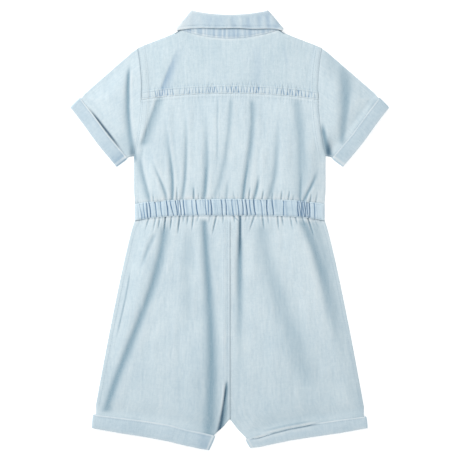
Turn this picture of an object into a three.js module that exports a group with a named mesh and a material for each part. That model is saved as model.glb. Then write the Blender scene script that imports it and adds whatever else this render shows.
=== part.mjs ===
import * as THREE from 'three';

// A small child's short-sleeved romper in light chambray, laid flat on its front with its back up.
// Millimetres. +Y points to the collar, +X to the wearer's right, and z = 0 is what it lies on.
// Left and right are the wearer's own, so the left half is at negative x.

const { clamp, lerp, smoothstep } = THREE.MathUtils;

// Cloth
const WALL = 1.2;
const TURNED_WALL = 1.4;
const SEAM = 0.3;
const PLY = WALL + SEAM;

// Heights of the middle of each layer above the table
const FRONT_MID = WALL / 2;
const BACK_MID = FRONT_MID + PLY + 0.1;
const TURN_LIFT = TURNED_WALL + SEAM;
const TURN_LOW = TURNED_WALL / 2;
const TURN_HIGH = BACK_MID + TURN_LIFT + (WALL + TURNED_WALL) / 2 + SEAM;
const PUFF = 3.0;

// Body
const CHEST_HALF = 136;
const WAIST_HALF = 134.8;
const ARMPIT_Y = 105;
const SHOULDER_X = 130.9;
const SHOULDER_Y = 258.2;
const NECK_HALF = 69.2;
const NECK_SIDE_Y = 284.7;
const BACK_NECK_DEPTH = 12.1;
const FRONT_NECK_DEPTH = 52;
const YOKE_SEAM_Y = 193.5;
const WAIST_TOP_Y = 43.9;
const WAIST_BOTTOM_Y = 20.2;
const WAIST_DROP = 7;

// Shorts
const LEG_TOP_Y = 13;
const LEG_FLARE = 61;
const HEM_OUTER_X = 195.6;
const HEM_OUTER_Y = -280.6;
const CROTCH_Y = -267;

// Sleeve and its turned-up cuff: outer line over the shoulder, inner line under the arm
const SLEEVE_OUTER = [[131, 258.2], [212, 186.5], [225.4, 174.1]];
const SLEEVE_INNER = [[136, 105], [145.5, 100.8], [160.1, 89.7]];
const CUFF_START = 0.82;

// Collar: a stand on the neckline and a fall rolled over it
const ROLL_HALF = 48.6;
const ROLL_SIDE_Y = 309.4;
const ROLL_BACK_Y = 303.9;
const FALL_EDGE_Y = 286.4;
const FALL_SIDE = [72.2, 283.6];
const LEAF_POINT = [40, 212];
const LEAF_TOP = [2, 255];
const COLLAR_ROLL_RADIUS = 0.8;
const STAND_LOW = FRONT_MID + PLY;
const STAND_HIGH = 4.2;
const FALL_LOW = FRONT_MID;
const FALL_HIGH = 5.9;

// Front fastening: a placket strip with buttons under it and a lap of the right front over it
const PLACKET_WIDTH = 17;
const BUTTON_RADIUS = 5.5;
const BUTTON_HEIGHT = 1.6;
const BUTTON_TOP_Y = 221;
const BUTTON_STEP = 41;
const BUTTON_COUNT = 5;
const PLACKET_MID = BUTTON_HEIGHT + SEAM + WALL / 2;
const LAP_MID = PLACKET_MID + PLY;
const CENTRE_MID = LAP_MID + PLY;

// How the cloth of the back turns down at the garment's edges
const EDGE_TURN = 2;
const EDGE_STEPS = 3;
const FRONT_INSET = 2.2;

const plan = (x, y) => new THREE.Vector2(x, y);
const mix = (a, b, t) => a.clone().lerp(b, t);

// The value at t of a table whose rows are [t, value], straight between its rows.
function lookUp(table, t) {
  const last = table.length - 1;
  let row = 1;
  while (row < last && t > table[row][0]) row += 1;
  const [t0, v0] = table[row - 1];
  const [t1, v1] = table[row];
  return lerp(v0, v1, clamp((t - t0) / (t1 - t0), 0, 1));
}

// A point on a line of [x, y] corners, with its corners at the given shares of the way.
function onLine(corners, shares, t) {
  return plan(
    lookUp(corners.map(([x], i) => [shares[i], x]), t),
    lookUp(corners.map(([, y], i) => [shares[i], y]), t),
  );
}

// Outline and seams of the body, as functions of place
const armholeX = (y) => 125 + (y > 200 ? 0.00174 : 0.00122) * (y - 200) ** 2;
const sideX = (y) => (y > ARMPIT_Y ? armholeX(y)
  : lerp(WAIST_HALF, CHEST_HALF, smoothstep(y, WAIST_TOP_Y - WAIST_DROP, WAIST_TOP_Y + 16)));
const legSideX = (y) => WAIST_HALF
  + LEG_FLARE * (Math.max(LEG_TOP_Y - y, 0) / (LEG_TOP_Y - HEM_OUTER_Y)) ** 0.86;
const yokeSeamY = (x) => YOKE_SEAM_Y - 8.9 * Math.abs(x / 125.2) ** 2.2;
const waistTopY = (x) => WAIST_TOP_Y - WAIST_DROP * Math.abs(x / WAIST_HALF) ** 3.5;
const waistBottomY = (x) => WAIST_BOTTOM_Y - WAIST_DROP * Math.abs(x / WAIST_HALF) ** 3.5;
const backNeckY = (x) => NECK_SIDE_Y - BACK_NECK_DEPTH * (1 - (x / NECK_HALF) ** 2);
const rollBackY = (x) => ROLL_BACK_Y + (ROLL_SIDE_Y - ROLL_BACK_Y) * (x / ROLL_HALF) ** 2;
const shoulderY = (x) => lookUp([
  [NECK_HALF, NECK_SIDE_Y], [76.3, 280.8], [90.9, 275.5], [120, 264.1], [SHOULDER_X, SHOULDER_Y],
], x);

// Leg hems: height of the turn-up's top and bottom edge by distance from the centre line
const HEMS = {
  left: {
    top: [[20.7, -293.1], [40, -288.5], [60, -284], [85, -277], [120, -271.5], [160, -266.5], [194, -262.7]],
    bottom: [[29, -312.2], [40, -310.4], [60, -305.6], [85, -299.2], [120, -292.8], [160, -286.8],
      [HEM_OUTER_X, HEM_OUTER_Y]],
    innerTop: 20.7,
    innerBottom: 29,
  },
  right: {
    top: [[22.5, -298], [40, -294.6], [60, -287.5], [85, -281], [120, -275], [160, -269.5], [194, -265.4]],
    bottom: [[29, -309.4], [40, -308], [60, -303], [85, -297.6], [120, -292.5], [160, -286.8],
      [HEM_OUTER_X, HEM_OUTER_Y]],
    innerTop: 22.5,
    innerBottom: 29,
  },
};
const hemOf = (x) => (x < 0 ? HEMS.left : HEMS.right);
const aboveHem = (x, y) => y - lookUp(hemOf(x).top, Math.abs(x));

// Distance inside the cuff's top line, positive on the sleeve's side
const CUFF_LINE = plan(...SLEEVE_OUTER[1]);
const CUFF_NORMAL = plan(SLEEVE_INNER[1][1] - SLEEVE_OUTER[1][1], SLEEVE_OUTER[1][0] - SLEEVE_INNER[1][0])
  .normalize();
const insideCuff = (x, y) => plan(Math.abs(x), y).sub(CUFF_LINE).dot(CUFF_NORMAL);

// Half of the outline of what is not turned up, for the distance of a place from the nearest edge
const OUTLINE = [[76, 281], SLEEVE_OUTER[0], SLEEVE_OUTER[1], SLEEVE_INNER[1], [CHEST_HALF, ARMPIT_Y],
  [CHEST_HALF, 42], [WAIST_HALF, LEG_TOP_Y], [154, -71], [178.5, -184.6], [193.7, -263.5], [110, -275],
  [22, -295], [10, -276], [0, CROTCH_Y]].map(([x, y]) => plan(x, y));

function distanceToLine(corners, point) {
  let nearest = Infinity;
  for (let i = 1; i < corners.length; i += 1) {
    const side = corners[i].clone().sub(corners[i - 1]);
    const from = point.clone().sub(corners[i - 1]);
    const share = clamp(from.dot(side) / side.lengthSq(), 0, 1);
    nearest = Math.min(nearest, from.distanceTo(side.multiplyScalar(share)));
  }
  return nearest;
}

// Large creases of the back. Each runs from its top to its bottom height through four evenly
// spaced places x0 to x3; width is its half width, depth 1 reaches the layer below, and rise and
// end are the lengths over which it deepens from its top and fades to its bottom.
const CREASES = [
  // top, bottom, x0, x1, x2, x3, width, depth, rise, end
  [270, 114, -68, -92, -110, -130, 5.0, 0.9, 43, 28],
  [142, 41, -127, -130, -125, -115, 5.7, 0.7, 36, 0],
  [114, 41, -112, -103, -95, -90, 3.0, 0.5, 28, 0],
  [178, 41, -93, -90, -83, -82, 4.3, 0.85, 57, 0],
  [189, 41, -64, -62, -62, -69, 4.0, 0.7, 50, 0],
  [186, 41, -39, -35, -33, -37, 5.1, 0.9, 43, 0],
  [190, 41, 1, -2, -10, -23, 5.7, 0.6, 14, 0],
  [77, 41, -3, -4, -5, -7, 2.6, 0.7, 21, 0],
  [190, 41, 31, 31, 24, 19, 4.8, 1, 17, 0],
  [185, 41, 70, 66, 64, 54, 4.0, 0.65, 71, 0],
  [190, 41, 94, 99, 101, 99, 6.4, 0.85, 21, 0],
  [95, 41, 127, 123, 116, 106, 3.0, 0.8, 17, 0],
  [77, 41, 41, 40, 38, 34, 2.8, 0.5, 17, 0],
  [270, 199, 39, 40, 40, 37, 4.6, 0.45, 28, 14],
  [18, -248, -91, -107, -144, -181, 6.4, 1, 0, 17],
  [18, -290, -38, -30, -24, -36, 6.0, 0.95, 0, 0],
  [-216, -290, -4, -6, -9, -15, 3.2, 0.9, 17, 0],
  [0, -60, -103, -111, -118, -125, 4.3, 0.45, 17, 26],
  [11, -149, -56, -60, -60, -59, 8.5, 0.3, 28, 57],
  [23, -163, 14, 15, 14, 14, 4.0, 1, 0, 57],
  [18, -136, 99, 120, 139, 158, 5.0, 0.9, 0, 36],
  [18, -210, 47, 59, 89, 113, 7.1, 0.55, 11, 57],
  [239, 109, -142, -146, -147, -140, 5.4, 0.95, 20, 6],
  [230, 115, 158, 163, 163, 158, 6.5, 0.6, 28, 11],
  [156, 108, 131, 133, 138, 145, 4.2, 0.9, 17, 0],
];

// Short gathers that start at the waistband: x at the band, x at the far end, length, depth
const GATHERS_BELOW = [
  [-115, -120, 14, 0.5], [-105, -112, 17, 0.5], [-83, -87, 14, 0.5], [-71, -74, 24, 0.8],
  [-59, -61, 11, 0.4], [-52, -58, 20, 0.5], [-19, -25, 28, 0.8], [6, 7, 9, 0.4], [35, 27, 21, 0.6],
  [68, 69, 18, 0.6], [74, 76, 13, 0.5], [84, 88, 10, 0.8], [93, 96, 9, 0.5], [111, 120, 20, 0.8],
];
const GATHERS_ABOVE = [
  [-75, -75, 18, 0.5], [-51, -51, 16, 0.5], [27, 29, 17, 0.6], [46, 48, 13, 0.4], [73, 74, 14, 0.4],
  [83, 85, 13, 0.4], [114, 116, 14, 0.5], [122, 125, 17, 0.5],
];
const GATHER_WIDTH = 2.8;

// Puckers of the elastic waistband: x at its top edge, x at its bottom edge, depth
const PUCKERS = [
  [-127.7, -124.6, 0.3], [-118.5, -115.4, 0.8], [-114.3, -111.5, 0.9], [-106.6, -102.9, 0.6],
  [-99.0, -95.5, 0.3], [-89.5, -87.4, 0.9], [-84.6, -79.7, 0.7], [-77.0, -73.8, 0.8],
  [-70.7, -68.8, 0.9], [-65.8, -64.0, 0.7], [-54.2, -52.0, 0.3], [-48.8, -44.7, 0.7],
  [-34.6, -33.2, 0.4], [-26.6, -25.2, 1], [-12.4, -9.6, 0.8], [-6.3, -3.9, 0.8], [10.9, 13.1, 0.6],
  [17.8, 19.2, 0.8], [22.9, 24.8, 1], [28.0, 30.2, 0.4], [33.6, 36.7, 0.9], [43.7, 46.9, 0.5],
  [52.4, 53.4, 1], [60.3, 62.1, 0.8], [76.0, 76.8, 0.5], [95.5, 98.2, 0.8], [100.7, 103.4, 1],
  [105.7, 108.3, 1], [112.5, 113.9, 1], [119.5, 121.3, 0.4],
];
const PUCKER_WIDTH = 1.7;

const bell = (distance, width) => Math.exp(-((distance / width) ** 2));

// The curve through four values evenly spaced from t = 0 to t = 1.
function throughFour([a, b, c, d], t) {
  const s = 3 * t;
  return -a * (s - 1) * (s - 2) * (s - 3) / 6 + b * s * (s - 2) * (s - 3) / 2
    - c * s * (s - 1) * (s - 3) / 2 + d * s * (s - 1) * (s - 2) / 6;
}

const fadeIn = (distance, length) => (length > 0 ? smoothstep(distance, 0, length) : 1);

// What the creases leave of the puff at a place: 1 between them, 0 where one reaches the layer below.
function leftByCreases(x, y) {
  let left = 1;
  for (const [top, bottom, x0, x1, x2, x3, width, depth, rise, end] of CREASES) {
    if (y < top && y > bottom - width) {
      const middle = throughFour([x0, x1, x2, x3], (top - y) / (top - bottom));
      const strength = depth * fadeIn(top - y, rise) * (end > 0 ? fadeIn(y - bottom, end) : 1);
      left *= 1 - strength * bell(x - middle, width);
    }
  }
  return left;
}

function leftByGathers(x, y) {
  const below = waistBottomY(x) - y;
  const above = y - waistTopY(x);
  const gathers = below > 0 ? GATHERS_BELOW : GATHERS_ABOVE;
  const away = Math.max(below, above);
  let left = 1;
  for (const [near, far, length, depth] of gathers) {
    if (away > 0 && away < length) {
      const share = away / length;
      left *= 1 - depth * (1 - share ** 2) * bell(x - lerp(near, far, share), GATHER_WIDTH);
    }
  }
  return left;
}

// Puckers fill the waistband and reach a little way past both its edges.
function leftByPuckers(x, y) {
  const top = waistTopY(x);
  const bottom = waistBottomY(x);
  const inBand = smoothstep(y, bottom - 5, bottom) * (1 - smoothstep(y, top, top + 5));
  if (inBand === 0) return 1;
  const share = clamp((top - y) / (top - bottom), 0, 1);
  let left = 1;
  for (const [atTop, atBottom, depth] of PUCKERS) {
    left *= 1 - inBand * depth * bell(x - lerp(atTop, atBottom, share), PUCKER_WIDTH);
  }
  return left;
}

// How much of the puff each height of the garment takes: least at the yoke, waist and hems
const FULLNESS = [[-300, 0.35], [-262, 0.5], [-200, 0.75], [-60, 1], [6, 0.95], [16, 0.5], [42, 0.5],
  [50, 0.95], [110, 1], [180, 0.75], [196, 0.5], [262, 0.4], [285, 0.15]];
const SLEEVE_FULLNESS = 0.85;

// The leaves of the collar lie under the fronts, and lift them and what is above.
const LEAF = [[2, 255], LEAF_POINT, FALL_SIDE, [ROLL_HALF, ROLL_SIDE_Y]].map(([x, y]) => plan(x, y));

function collarCover(x, y) {
  const point = plan(Math.abs(x), y);
  let outside = -Infinity;
  for (let i = 0; i < LEAF.length; i += 1) {
    const side = LEAF[(i + 1) % LEAF.length].clone().sub(LEAF[i]).normalize();
    const from = point.clone().sub(LEAF[i]);
    outside = Math.max(outside, from.x * side.y - from.y * side.x);
  }
  return 1 - smoothstep(outside, 6, 46);
}

// The whole neck stays lifted by the collar that passes under it.
function neckCover(x, y) {
  const beside = Math.max(Math.abs(x) - NECK_HALF, 0);
  const below = Math.max(backNeckY(Math.min(Math.abs(x), NECK_HALF)) - y, 0);
  return Math.max(collarCover(x, y), 1 - smoothstep(Math.hypot(beside, below), 8, 50));
}

// Turned-up hems and cuffs lift the layers inside them.
function turnCover(x, y) {
  if (y < CROTCH_Y + 60) return 1 - smoothstep(aboveHem(x, y), 2.5, 16);
  const onSleeve = y > ARMPIT_Y || (y > SLEEVE_INNER[2][1] - 10 && Math.abs(x) > CHEST_HALF);
  if (onSleeve) return 1 - smoothstep(insideCuff(x, y), 2, 11);
  return 0;
}

// Height of the middle of a front layer away from the fastening
const frontHeight = (x, y) => FRONT_MID + PLY * collarCover(x, y) + TURN_LIFT * turnCover(x, y);
const leftFrontHeight = (x, y) => lerp(frontHeight(x, y), PLACKET_MID, smoothstep(x, -30, -9.5));
const rightFrontHeight = (x, y) => lerp(frontHeight(x, y), LAP_MID, 1 - smoothstep(x, 11, 34));

// The fastening ends at the waist seam and at the neck; above it the back lies higher.
function fasteningCover(x, y) {
  const across = 1 - smoothstep(Math.abs(x), 12, 38);
  const along = smoothstep(y, WAIST_BOTTOM_Y - 6, WAIST_TOP_Y) * (1 - smoothstep(y, 233, 262));
  return across * along;
}

// Height of the middle of the back layer where no air lies under it
function settledHeight(x, y) {
  const clearOfFront = BACK_MID + TURN_LIFT * turnCover(x, y)
    + (STAND_HIGH - BACK_MID) * neckCover(x, y);
  return lerp(clearOfFront, CENTRE_MID + 0.1, fasteningCover(x, y));
}

// Height of the middle of the back layer, with its puff and creases
function backHeight(x, y) {
  const settled = settledHeight(x, y);
  const edge = smoothstep(distanceToLine(OUTLINE, plan(Math.abs(x), y)), 1.5, 28);
  const full = lerp(lookUp(FULLNESS, y), SLEEVE_FULLNESS, y > 60 ? smoothstep(Math.abs(x), 118, 150) : 0);
  const open = (1 - turnCover(x, y)) * (1 - 0.5 * fasteningCover(x, y)) * (1 - 0.8 * neckCover(x, y));
  return settled + PUFF * edge * full * open * leftByCreases(x, y) * leftByGathers(x, y)
    * leftByPuckers(x, y);
}

// A closed wall around a grid of middle points, rows[j][i]. Looped rows join their last point to
// their first. A point marked upright is on a seam, where the wall's edge is cut square.
function wallGeometry(rows, { wall = WALL, looped = false } = {}) {
  const rowCount = rows.length;
  const count = rows[0].length;
  const lastRow = rowCount - 1;
  const positions = [];
  for (const side of [1, -1]) {
    rows.forEach((row, j) => row.forEach((point, i) => {
      const before = looped ? row[(i + count - 1) % count] : row[Math.max(i - 1, 0)];
      const after = looped ? row[(i + 1) % count] : row[Math.min(i + 1, count - 1)];
      const across = after.at.clone().sub(before.at);
      const along = rows[Math.min(j + 1, lastRow)][i].at.clone().sub(rows[Math.max(j - 1, 0)][i].at);
      if (point.upright && !looped && (i === 0 || i === count - 1)) across.z = 0;
      if (point.upright && (j === 0 || j === lastRow)) along.z = 0;
      const normal = across.cross(along).normalize();
      positions.push(...point.at.clone().addScaledVector(normal, side * wall / 2).toArray());
    }));
  }
  const under = rowCount * count;
  const steps = looped ? count : count - 1;
  const indices = [];
  const quad = (a, b, c, d) => indices.push(a, b, c, a, c, d);
  for (let j = 0; j < lastRow; j += 1) {
    for (let i = 0; i < steps; i += 1) {
      const a = j * count + i;
      const b = j * count + (i + 1) % count;
      quad(a, b, b + count, a + count);
      quad(under + a + count, under + b + count, under + b, under + a);
    }
  }
  for (let i = 0; i < steps; i += 1) {
    const next = (i + 1) % count;
    quad(under + i, under + next, next, i);
    const top = lastRow * count;
    quad(top + i, top + next, under + top + next, under + top + i);
  }
  if (!looped) {
    for (let j = 0; j < lastRow; j += 1) {
      const a = j * count;
      const b = a + count;
      quad(under + a, a, b, under + b);
      quad(a + count - 1, under + a + count - 1, under + b + count - 1, b + count - 1);
    }
  }
  const geometry = new THREE.BufferGeometry();
  geometry.setAttribute('position', new THREE.Float32BufferAttribute(positions, 3));
  geometry.setIndex(signedVolume(positions, indices) < 0 ? indices.reverse() : indices);
  geometry.computeVertexNormals();
  return geometry;
}

function signedVolume(positions, indices) {
  const corner = (k) => new THREE.Vector3().fromArray(positions, 3 * indices[k]);
  let sum = 0;
  for (let k = 0; k < indices.length; k += 3) sum += corner(k).dot(corner(k + 1).cross(corner(k + 2)));
  return sum / 6;
}

const chambray = (colour) => new THREE.MeshStandardMaterial({ color: colour, roughness: 0.9, metalness: 0 });
const MATERIALS = {
  body: chambray(0xcbdde5),
  shade: chambray(0xbcd1db),
  trim: chambray(0xb4cad7),
  button: new THREE.MeshStandardMaterial({ color: 0xe9e6dd, roughness: 0.35, metalness: 0 }),
};

const romper = new THREE.Group();

function addPiece(name, geometry, material) {
  const mesh = new THREE.Mesh(geometry, material);
  mesh.name = name;
  romper.add(mesh);
  return mesh;
}

// A place between four edges: first and last run across the piece, start and end along it.
function patchPoint({ first, last, start, end }, s, q) {
  const across = mix(first(s), last(s), q);
  const along = mix(start(q), end(q), s);
  const corners = mix(mix(first(0), first(1), s), mix(last(0), last(1), s), q);
  return across.add(along).sub(corners);
}

// Steps over the length of a panel, with a lane of close steps at each end that is turned down.
// rho is the share of the height that is left in such a lane.
function laneSteps(steps, { turnStart = false, turnEnd = false, places = null }) {
  const lane = Array.from({ length: EDGE_STEPS }, (_, k) => {
    const angle = (k / EDGE_STEPS) * (Math.PI / 2);
    return { inset: EDGE_TURN * (1 - Math.cos(angle)), rho: Math.sin(angle) };
  });
  const first = turnStart ? EDGE_TURN : 0;
  const last = turnEnd ? EDGE_TURN : 0;
  const between = places ?? Array.from({ length: steps + 1 }, (_, k) => k / steps);
  return [
    ...(turnStart ? lane : []).map(({ inset, rho }) => ({ at: (size) => inset / size, startRho: rho })),
    ...between.map((share) => ({ at: (size) => (first + share * (size - first - last)) / size })),
    ...(turnEnd ? lane.toReversed() : []).map(({ inset, rho }) => (
      { at: (size) => 1 - inset / size, endRho: rho })),
  ];
}

// Grid of a panel between four edges. turned tells how far each edge is turned down at a place.
function panelRows({ edges, across, along, height, turned = () => ({ start: 0, end: 0, top: 0 }) }) {
  return along.map((stepAlong) => across.map((stepAcross) => {
    const guess = stepAlong.at(edges.start(0).distanceTo(edges.start(1)));
    const s = stepAcross.at(edges.start(guess).distanceTo(edges.end(guess)));
    const q = stepAlong.at(edges.first(s).distanceTo(edges.last(s)));
    const { x, y } = patchPoint(edges, s, q);
    const turn = turned(x, y);
    const rho = lerp(1, stepAcross.startRho ?? 1, turn.start) * lerp(1, stepAcross.endRho ?? 1, turn.end)
      * lerp(1, stepAlong.startRho ?? 1, turn.top);
    const floor = frontHeight(x, y) - 0.1;
    const z = lerp(floor, height(x, y), rho);
    return { at: new THREE.Vector3(x, y, z), upright: rho > 0.5 };
  }));
}

const EDGE_INSET = WALL / 2;

// Back yoke, from its seam up to the neckline and the shoulders, which turn down at their edge
function yokeTop(s) {
  const x = lerp(-SHOULDER_X, SHOULDER_X, s) * (1 - SEAM / 2 / SHOULDER_X);
  const y = Math.abs(x) < NECK_HALF ? backNeckY(x) - SEAM / 2 : shoulderY(Math.abs(x)) - EDGE_INSET;
  return plan(x, y);
}

function yokeSide(sign, q) {
  const y = lerp(SHOULDER_Y - EDGE_INSET, yokeSeamY(armholeX(185)) + SEAM / 2, q);
  return plan(sign * (armholeX(y) - SEAM / 2), y);
}

// Even steps over the neckline and over each shoulder, with one at each end of the neckline
function yokePlaces() {
  const neckEnd = NECK_HALF / (SHOULDER_X - SEAM / 2);
  const half = [0.16, 0.33, 0.5, 0.67, 0.84, 1].map((share) => share * neckEnd);
  half.push(...[0.11, 0.24, 0.37, 0.5, 0.63, 0.75, 0.88, 1].map((share) => lerp(neckEnd, 1, share)));
  return [...half.map((x) => 0.5 - x / 2).toReversed(), 0.5, ...half.map((x) => 0.5 + x / 2)];
}

addPiece('back_yoke', wallGeometry(panelRows({
  edges: {
    first: yokeTop,
    last: (s) => {
      const x = lerp(-1, 1, s) * (armholeX(yokeSeamY(armholeX(185)) + SEAM / 2) - SEAM / 2);
      return plan(x, yokeSeamY(x) + SEAM / 2);
    },
    start: (q) => yokeSide(-1, q),
    end: (q) => yokeSide(1, q),
  },
  across: laneSteps(0, { places: yokePlaces() }),
  along: laneSteps(5, { turnStart: true }),
  height: backHeight,
  turned: (x) => ({ start: 0, end: 0, top: smoothstep(Math.abs(x), 76, 82) }),
})), MATERIALS.body);

// Sides of the bodice: a seam along the armhole, then an outer edge down to the waist
function bodiceSide(sign, q, atArmhole, atSide) {
  const y = lerp(yokeSeamY(armholeX(185)) - SEAM / 2, waistTopY(WAIST_HALF - atSide) + SEAM / 2, q);
  const inset = lerp(atSide, atArmhole, smoothstep(y, ARMPIT_Y - 3, ARMPIT_Y + 1));
  return plan(sign * (sideX(y) - inset), y);
}

const armpitShare = (yokeSeamY(armholeX(185)) - ARMPIT_Y) / (yokeSeamY(armholeX(185)) - waistTopY(WAIST_HALF));
const sideTurn = (y) => 1 - smoothstep(y, ARMPIT_Y - 3, ARMPIT_Y);

addPiece('back_bodice', wallGeometry(panelRows({
  edges: {
    first: (s) => {
      const x = lerp(-1, 1, s) * bodiceSide(1, 0, SEAM / 2, EDGE_INSET).x;
      return plan(x, yokeSeamY(x) - SEAM / 2);
    },
    last: (s) => {
      const x = lerp(-1, 1, s) * bodiceSide(1, 1, SEAM / 2, EDGE_INSET).x;
      return plan(x, waistTopY(x) + SEAM / 2);
    },
    start: (q) => bodiceSide(-1, q, SEAM / 2, EDGE_INSET),
    end: (q) => bodiceSide(1, q, SEAM / 2, EDGE_INSET),
  },
  across: laneSteps(46, { turnStart: true, turnEnd: true }),
  along: laneSteps(0, {
    places: [0, 0.14, 0.28, 0.41, armpitShare, armpitShare + 0.025, 0.68, 0.79, 0.88, 0.95, 1],
  }),
  height: backHeight,
  turned: (x, y) => ({ start: sideTurn(y), end: sideTurn(y), top: 0 }),
})), MATERIALS.body);

// Waistband: the back is drawn into puckers, with a step at each one's valley and crest
function waistbandEdges(inset) {
  const half = WAIST_HALF - inset;
  const edge = (heightOf, gap) => (s) => plan(lerp(-half, half, s), heightOf(lerp(-half, half, s)) + gap);
  const side = (sign) => (q) => plan(sign * half,
    lerp(waistTopY(half) - SEAM / 2, waistBottomY(half) + SEAM / 2, q));
  return {
    first: edge(waistTopY, -SEAM / 2), last: edge(waistBottomY, SEAM / 2), start: side(-1), end: side(1),
  };
}

function puckerPlaces() {
  const half = WAIST_HALF - EDGE_INSET - EDGE_TURN;
  const valleys = PUCKERS.map(([atTop, atBottom]) => (atTop + atBottom) / 2);
  const places = [-half, -131];
  valleys.forEach((valley, i) => {
    const next = valleys[i + 1] ?? half;
    places.push(valley);
    if (next - valley > 9) places.push(valley + 2.6, next - 2.6);
    else places.push((valley + next) / 2);
  });
  places.push(half);
  return places.map((x) => (x + half) / (2 * half));
}

addPiece('waistband_back', wallGeometry(panelRows({
  edges: waistbandEdges(EDGE_INSET),
  across: laneSteps(0, { turnStart: true, turnEnd: true, places: puckerPlaces() }),
  along: laneSteps(2, {}),
  height: backHeight,
  turned: () => ({ start: 1, end: 1, top: 0 }),
})), MATERIALS.trim);

addPiece('waistband_front', wallGeometry(panelRows({
  edges: waistbandEdges(FRONT_INSET),
  across: laneSteps(20, {}),
  along: laneSteps(1, {}),
  height: frontHeight,
})), MATERIALS.trim);

// Fronts, from the neckline and shoulders to the waist
const frontNeck = (angle, gap) => plan((NECK_HALF + gap) * Math.sin(angle),
  NECK_SIDE_Y - 0.7 - (FRONT_NECK_DEPTH + gap) * Math.cos(angle));
const NECK_SHARE = 0.56;
const NECK_STEPS = 10;

function frontTop(sign, innerX, s) {
  const firstAngle = Math.asin(innerX / (NECK_HALF + SEAM / 2));
  if (s <= NECK_SHARE) {
    const corner = frontNeck(lerp(firstAngle, Math.PI / 2, s / NECK_SHARE), SEAM / 2);
    return plan(sign * corner.x, corner.y - 0.4 * smoothstep(s, 0, NECK_SHARE));
  }
  const t = (s - NECK_SHARE) / (1 - NECK_SHARE);
  const x = lerp(NECK_HALF + SEAM / 2, SHOULDER_X - SEAM, t);
  return plan(sign * x, shoulderY(x) - lerp(0.4, FRONT_INSET, smoothstep(x, 71, 80)) - 0.3);
}

// One front between its centre edge, which lies at edgeX, and its side
function frontPiece(name, sign, edgeX, height) {
  const neckPlaces = Array.from({ length: NECK_STEPS + 1 }, (_, k) => NECK_SHARE * (k / NECK_STEPS));
  const top = (s) => frontTop(sign, sign * edgeX, s);
  const sideTop = top(1);
  const side = (q) => {
    const y = lerp(sideTop.y, waistTopY(WAIST_HALF - FRONT_INSET) + SEAM / 2, q);
    const inset = lerp(FRONT_INSET, SEAM, smoothstep(y, ARMPIT_Y - 1, ARMPIT_Y + 3));
    return plan(sign * (sideX(y) - inset), y);
  };
  const waistX = side(1).x;
  const bottom = (s) => plan(lerp(edgeX, waistX, s), waistTopY(lerp(edgeX, waistX, s)) + SEAM / 2);
  addPiece(name, wallGeometry(panelRows({
    edges: {
      first: top,
      last: bottom,
      start: (q) => plan(edgeX, lerp(top(0).y, bottom(0).y, q)),
      end: side,
    },
    across: laneSteps(0, { places: [...neckPlaces, 0.67, 0.78, 0.89, 1] }),
    along: laneSteps(0, { places: [0, 0.05, 0.1, 0.16, 0.23, 0.32, 0.42, 0.52, 0.61, 0.69, 0.71, 1] }),
    height,
  })), MATERIALS.shade);
}

frontPiece('front_left', -1, -PLACKET_WIDTH / 2 - SEAM, leftFrontHeight);
frontPiece('front_right', 1, -PLACKET_WIDTH / 2 + 1, rightFrontHeight);

const placketTop = frontTop(1, PLACKET_WIDTH / 2, 0).y - 0.6;
addPiece('placket', wallGeometry(panelRows({
  edges: {
    first: (s) => plan((s - 0.5) * PLACKET_WIDTH, placketTop),
    last: (s) => plan((s - 0.5) * PLACKET_WIDTH, WAIST_TOP_Y + SEAM / 2),
    start: (q) => plan(-PLACKET_WIDTH / 2, lerp(placketTop, WAIST_TOP_Y + SEAM / 2, q)),
    end: (q) => plan(PLACKET_WIDTH / 2, lerp(placketTop, WAIST_TOP_Y + SEAM / 2, q)),
  },
  across: laneSteps(1, {}),
  along: laneSteps(4, {}),
  height: () => PLACKET_MID,
})), MATERIALS.trim);

// Buttons lie face down under the placket, each with a dished face and a raised rim
const BUTTON_PROFILE = [[0, 0.5], [3.7, 0.5], [4.3, 0], [BUTTON_RADIUS, 0.5], [BUTTON_RADIUS, 1.2],
  [4.9, BUTTON_HEIGHT], [0, BUTTON_HEIGHT]];
for (let i = 0; i < BUTTON_COUNT; i += 1) {
  const disc = new THREE.LatheGeometry(BUTTON_PROFILE.map(([r, z]) => plan(r, z)), 16);
  disc.rotateX(Math.PI / 2);
  const button = addPiece(`button_${i + 1}`, disc, MATERIALS.button);
  button.position.set(0, BUTTON_TOP_Y - i * BUTTON_STEP, 0);
}

// Legs: each back and front runs from the waistband to just inside the hem's fold
const CROTCH_SHARE = 0.8;
const HEM_SHARE = 0.9;
const LEG_SHARES = [0, CROTCH_SHARE, HEM_SHARE, 1];
const HEM_INSIDE = 1;
const INSEAM_SLANT = 0.78;

// How far an edge lies inside the outline: more within the hem, which wraps round it
const legInset = (x, y, plain, hemmed) => lerp(plain, hemmed, turnCover(x, y));

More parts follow.
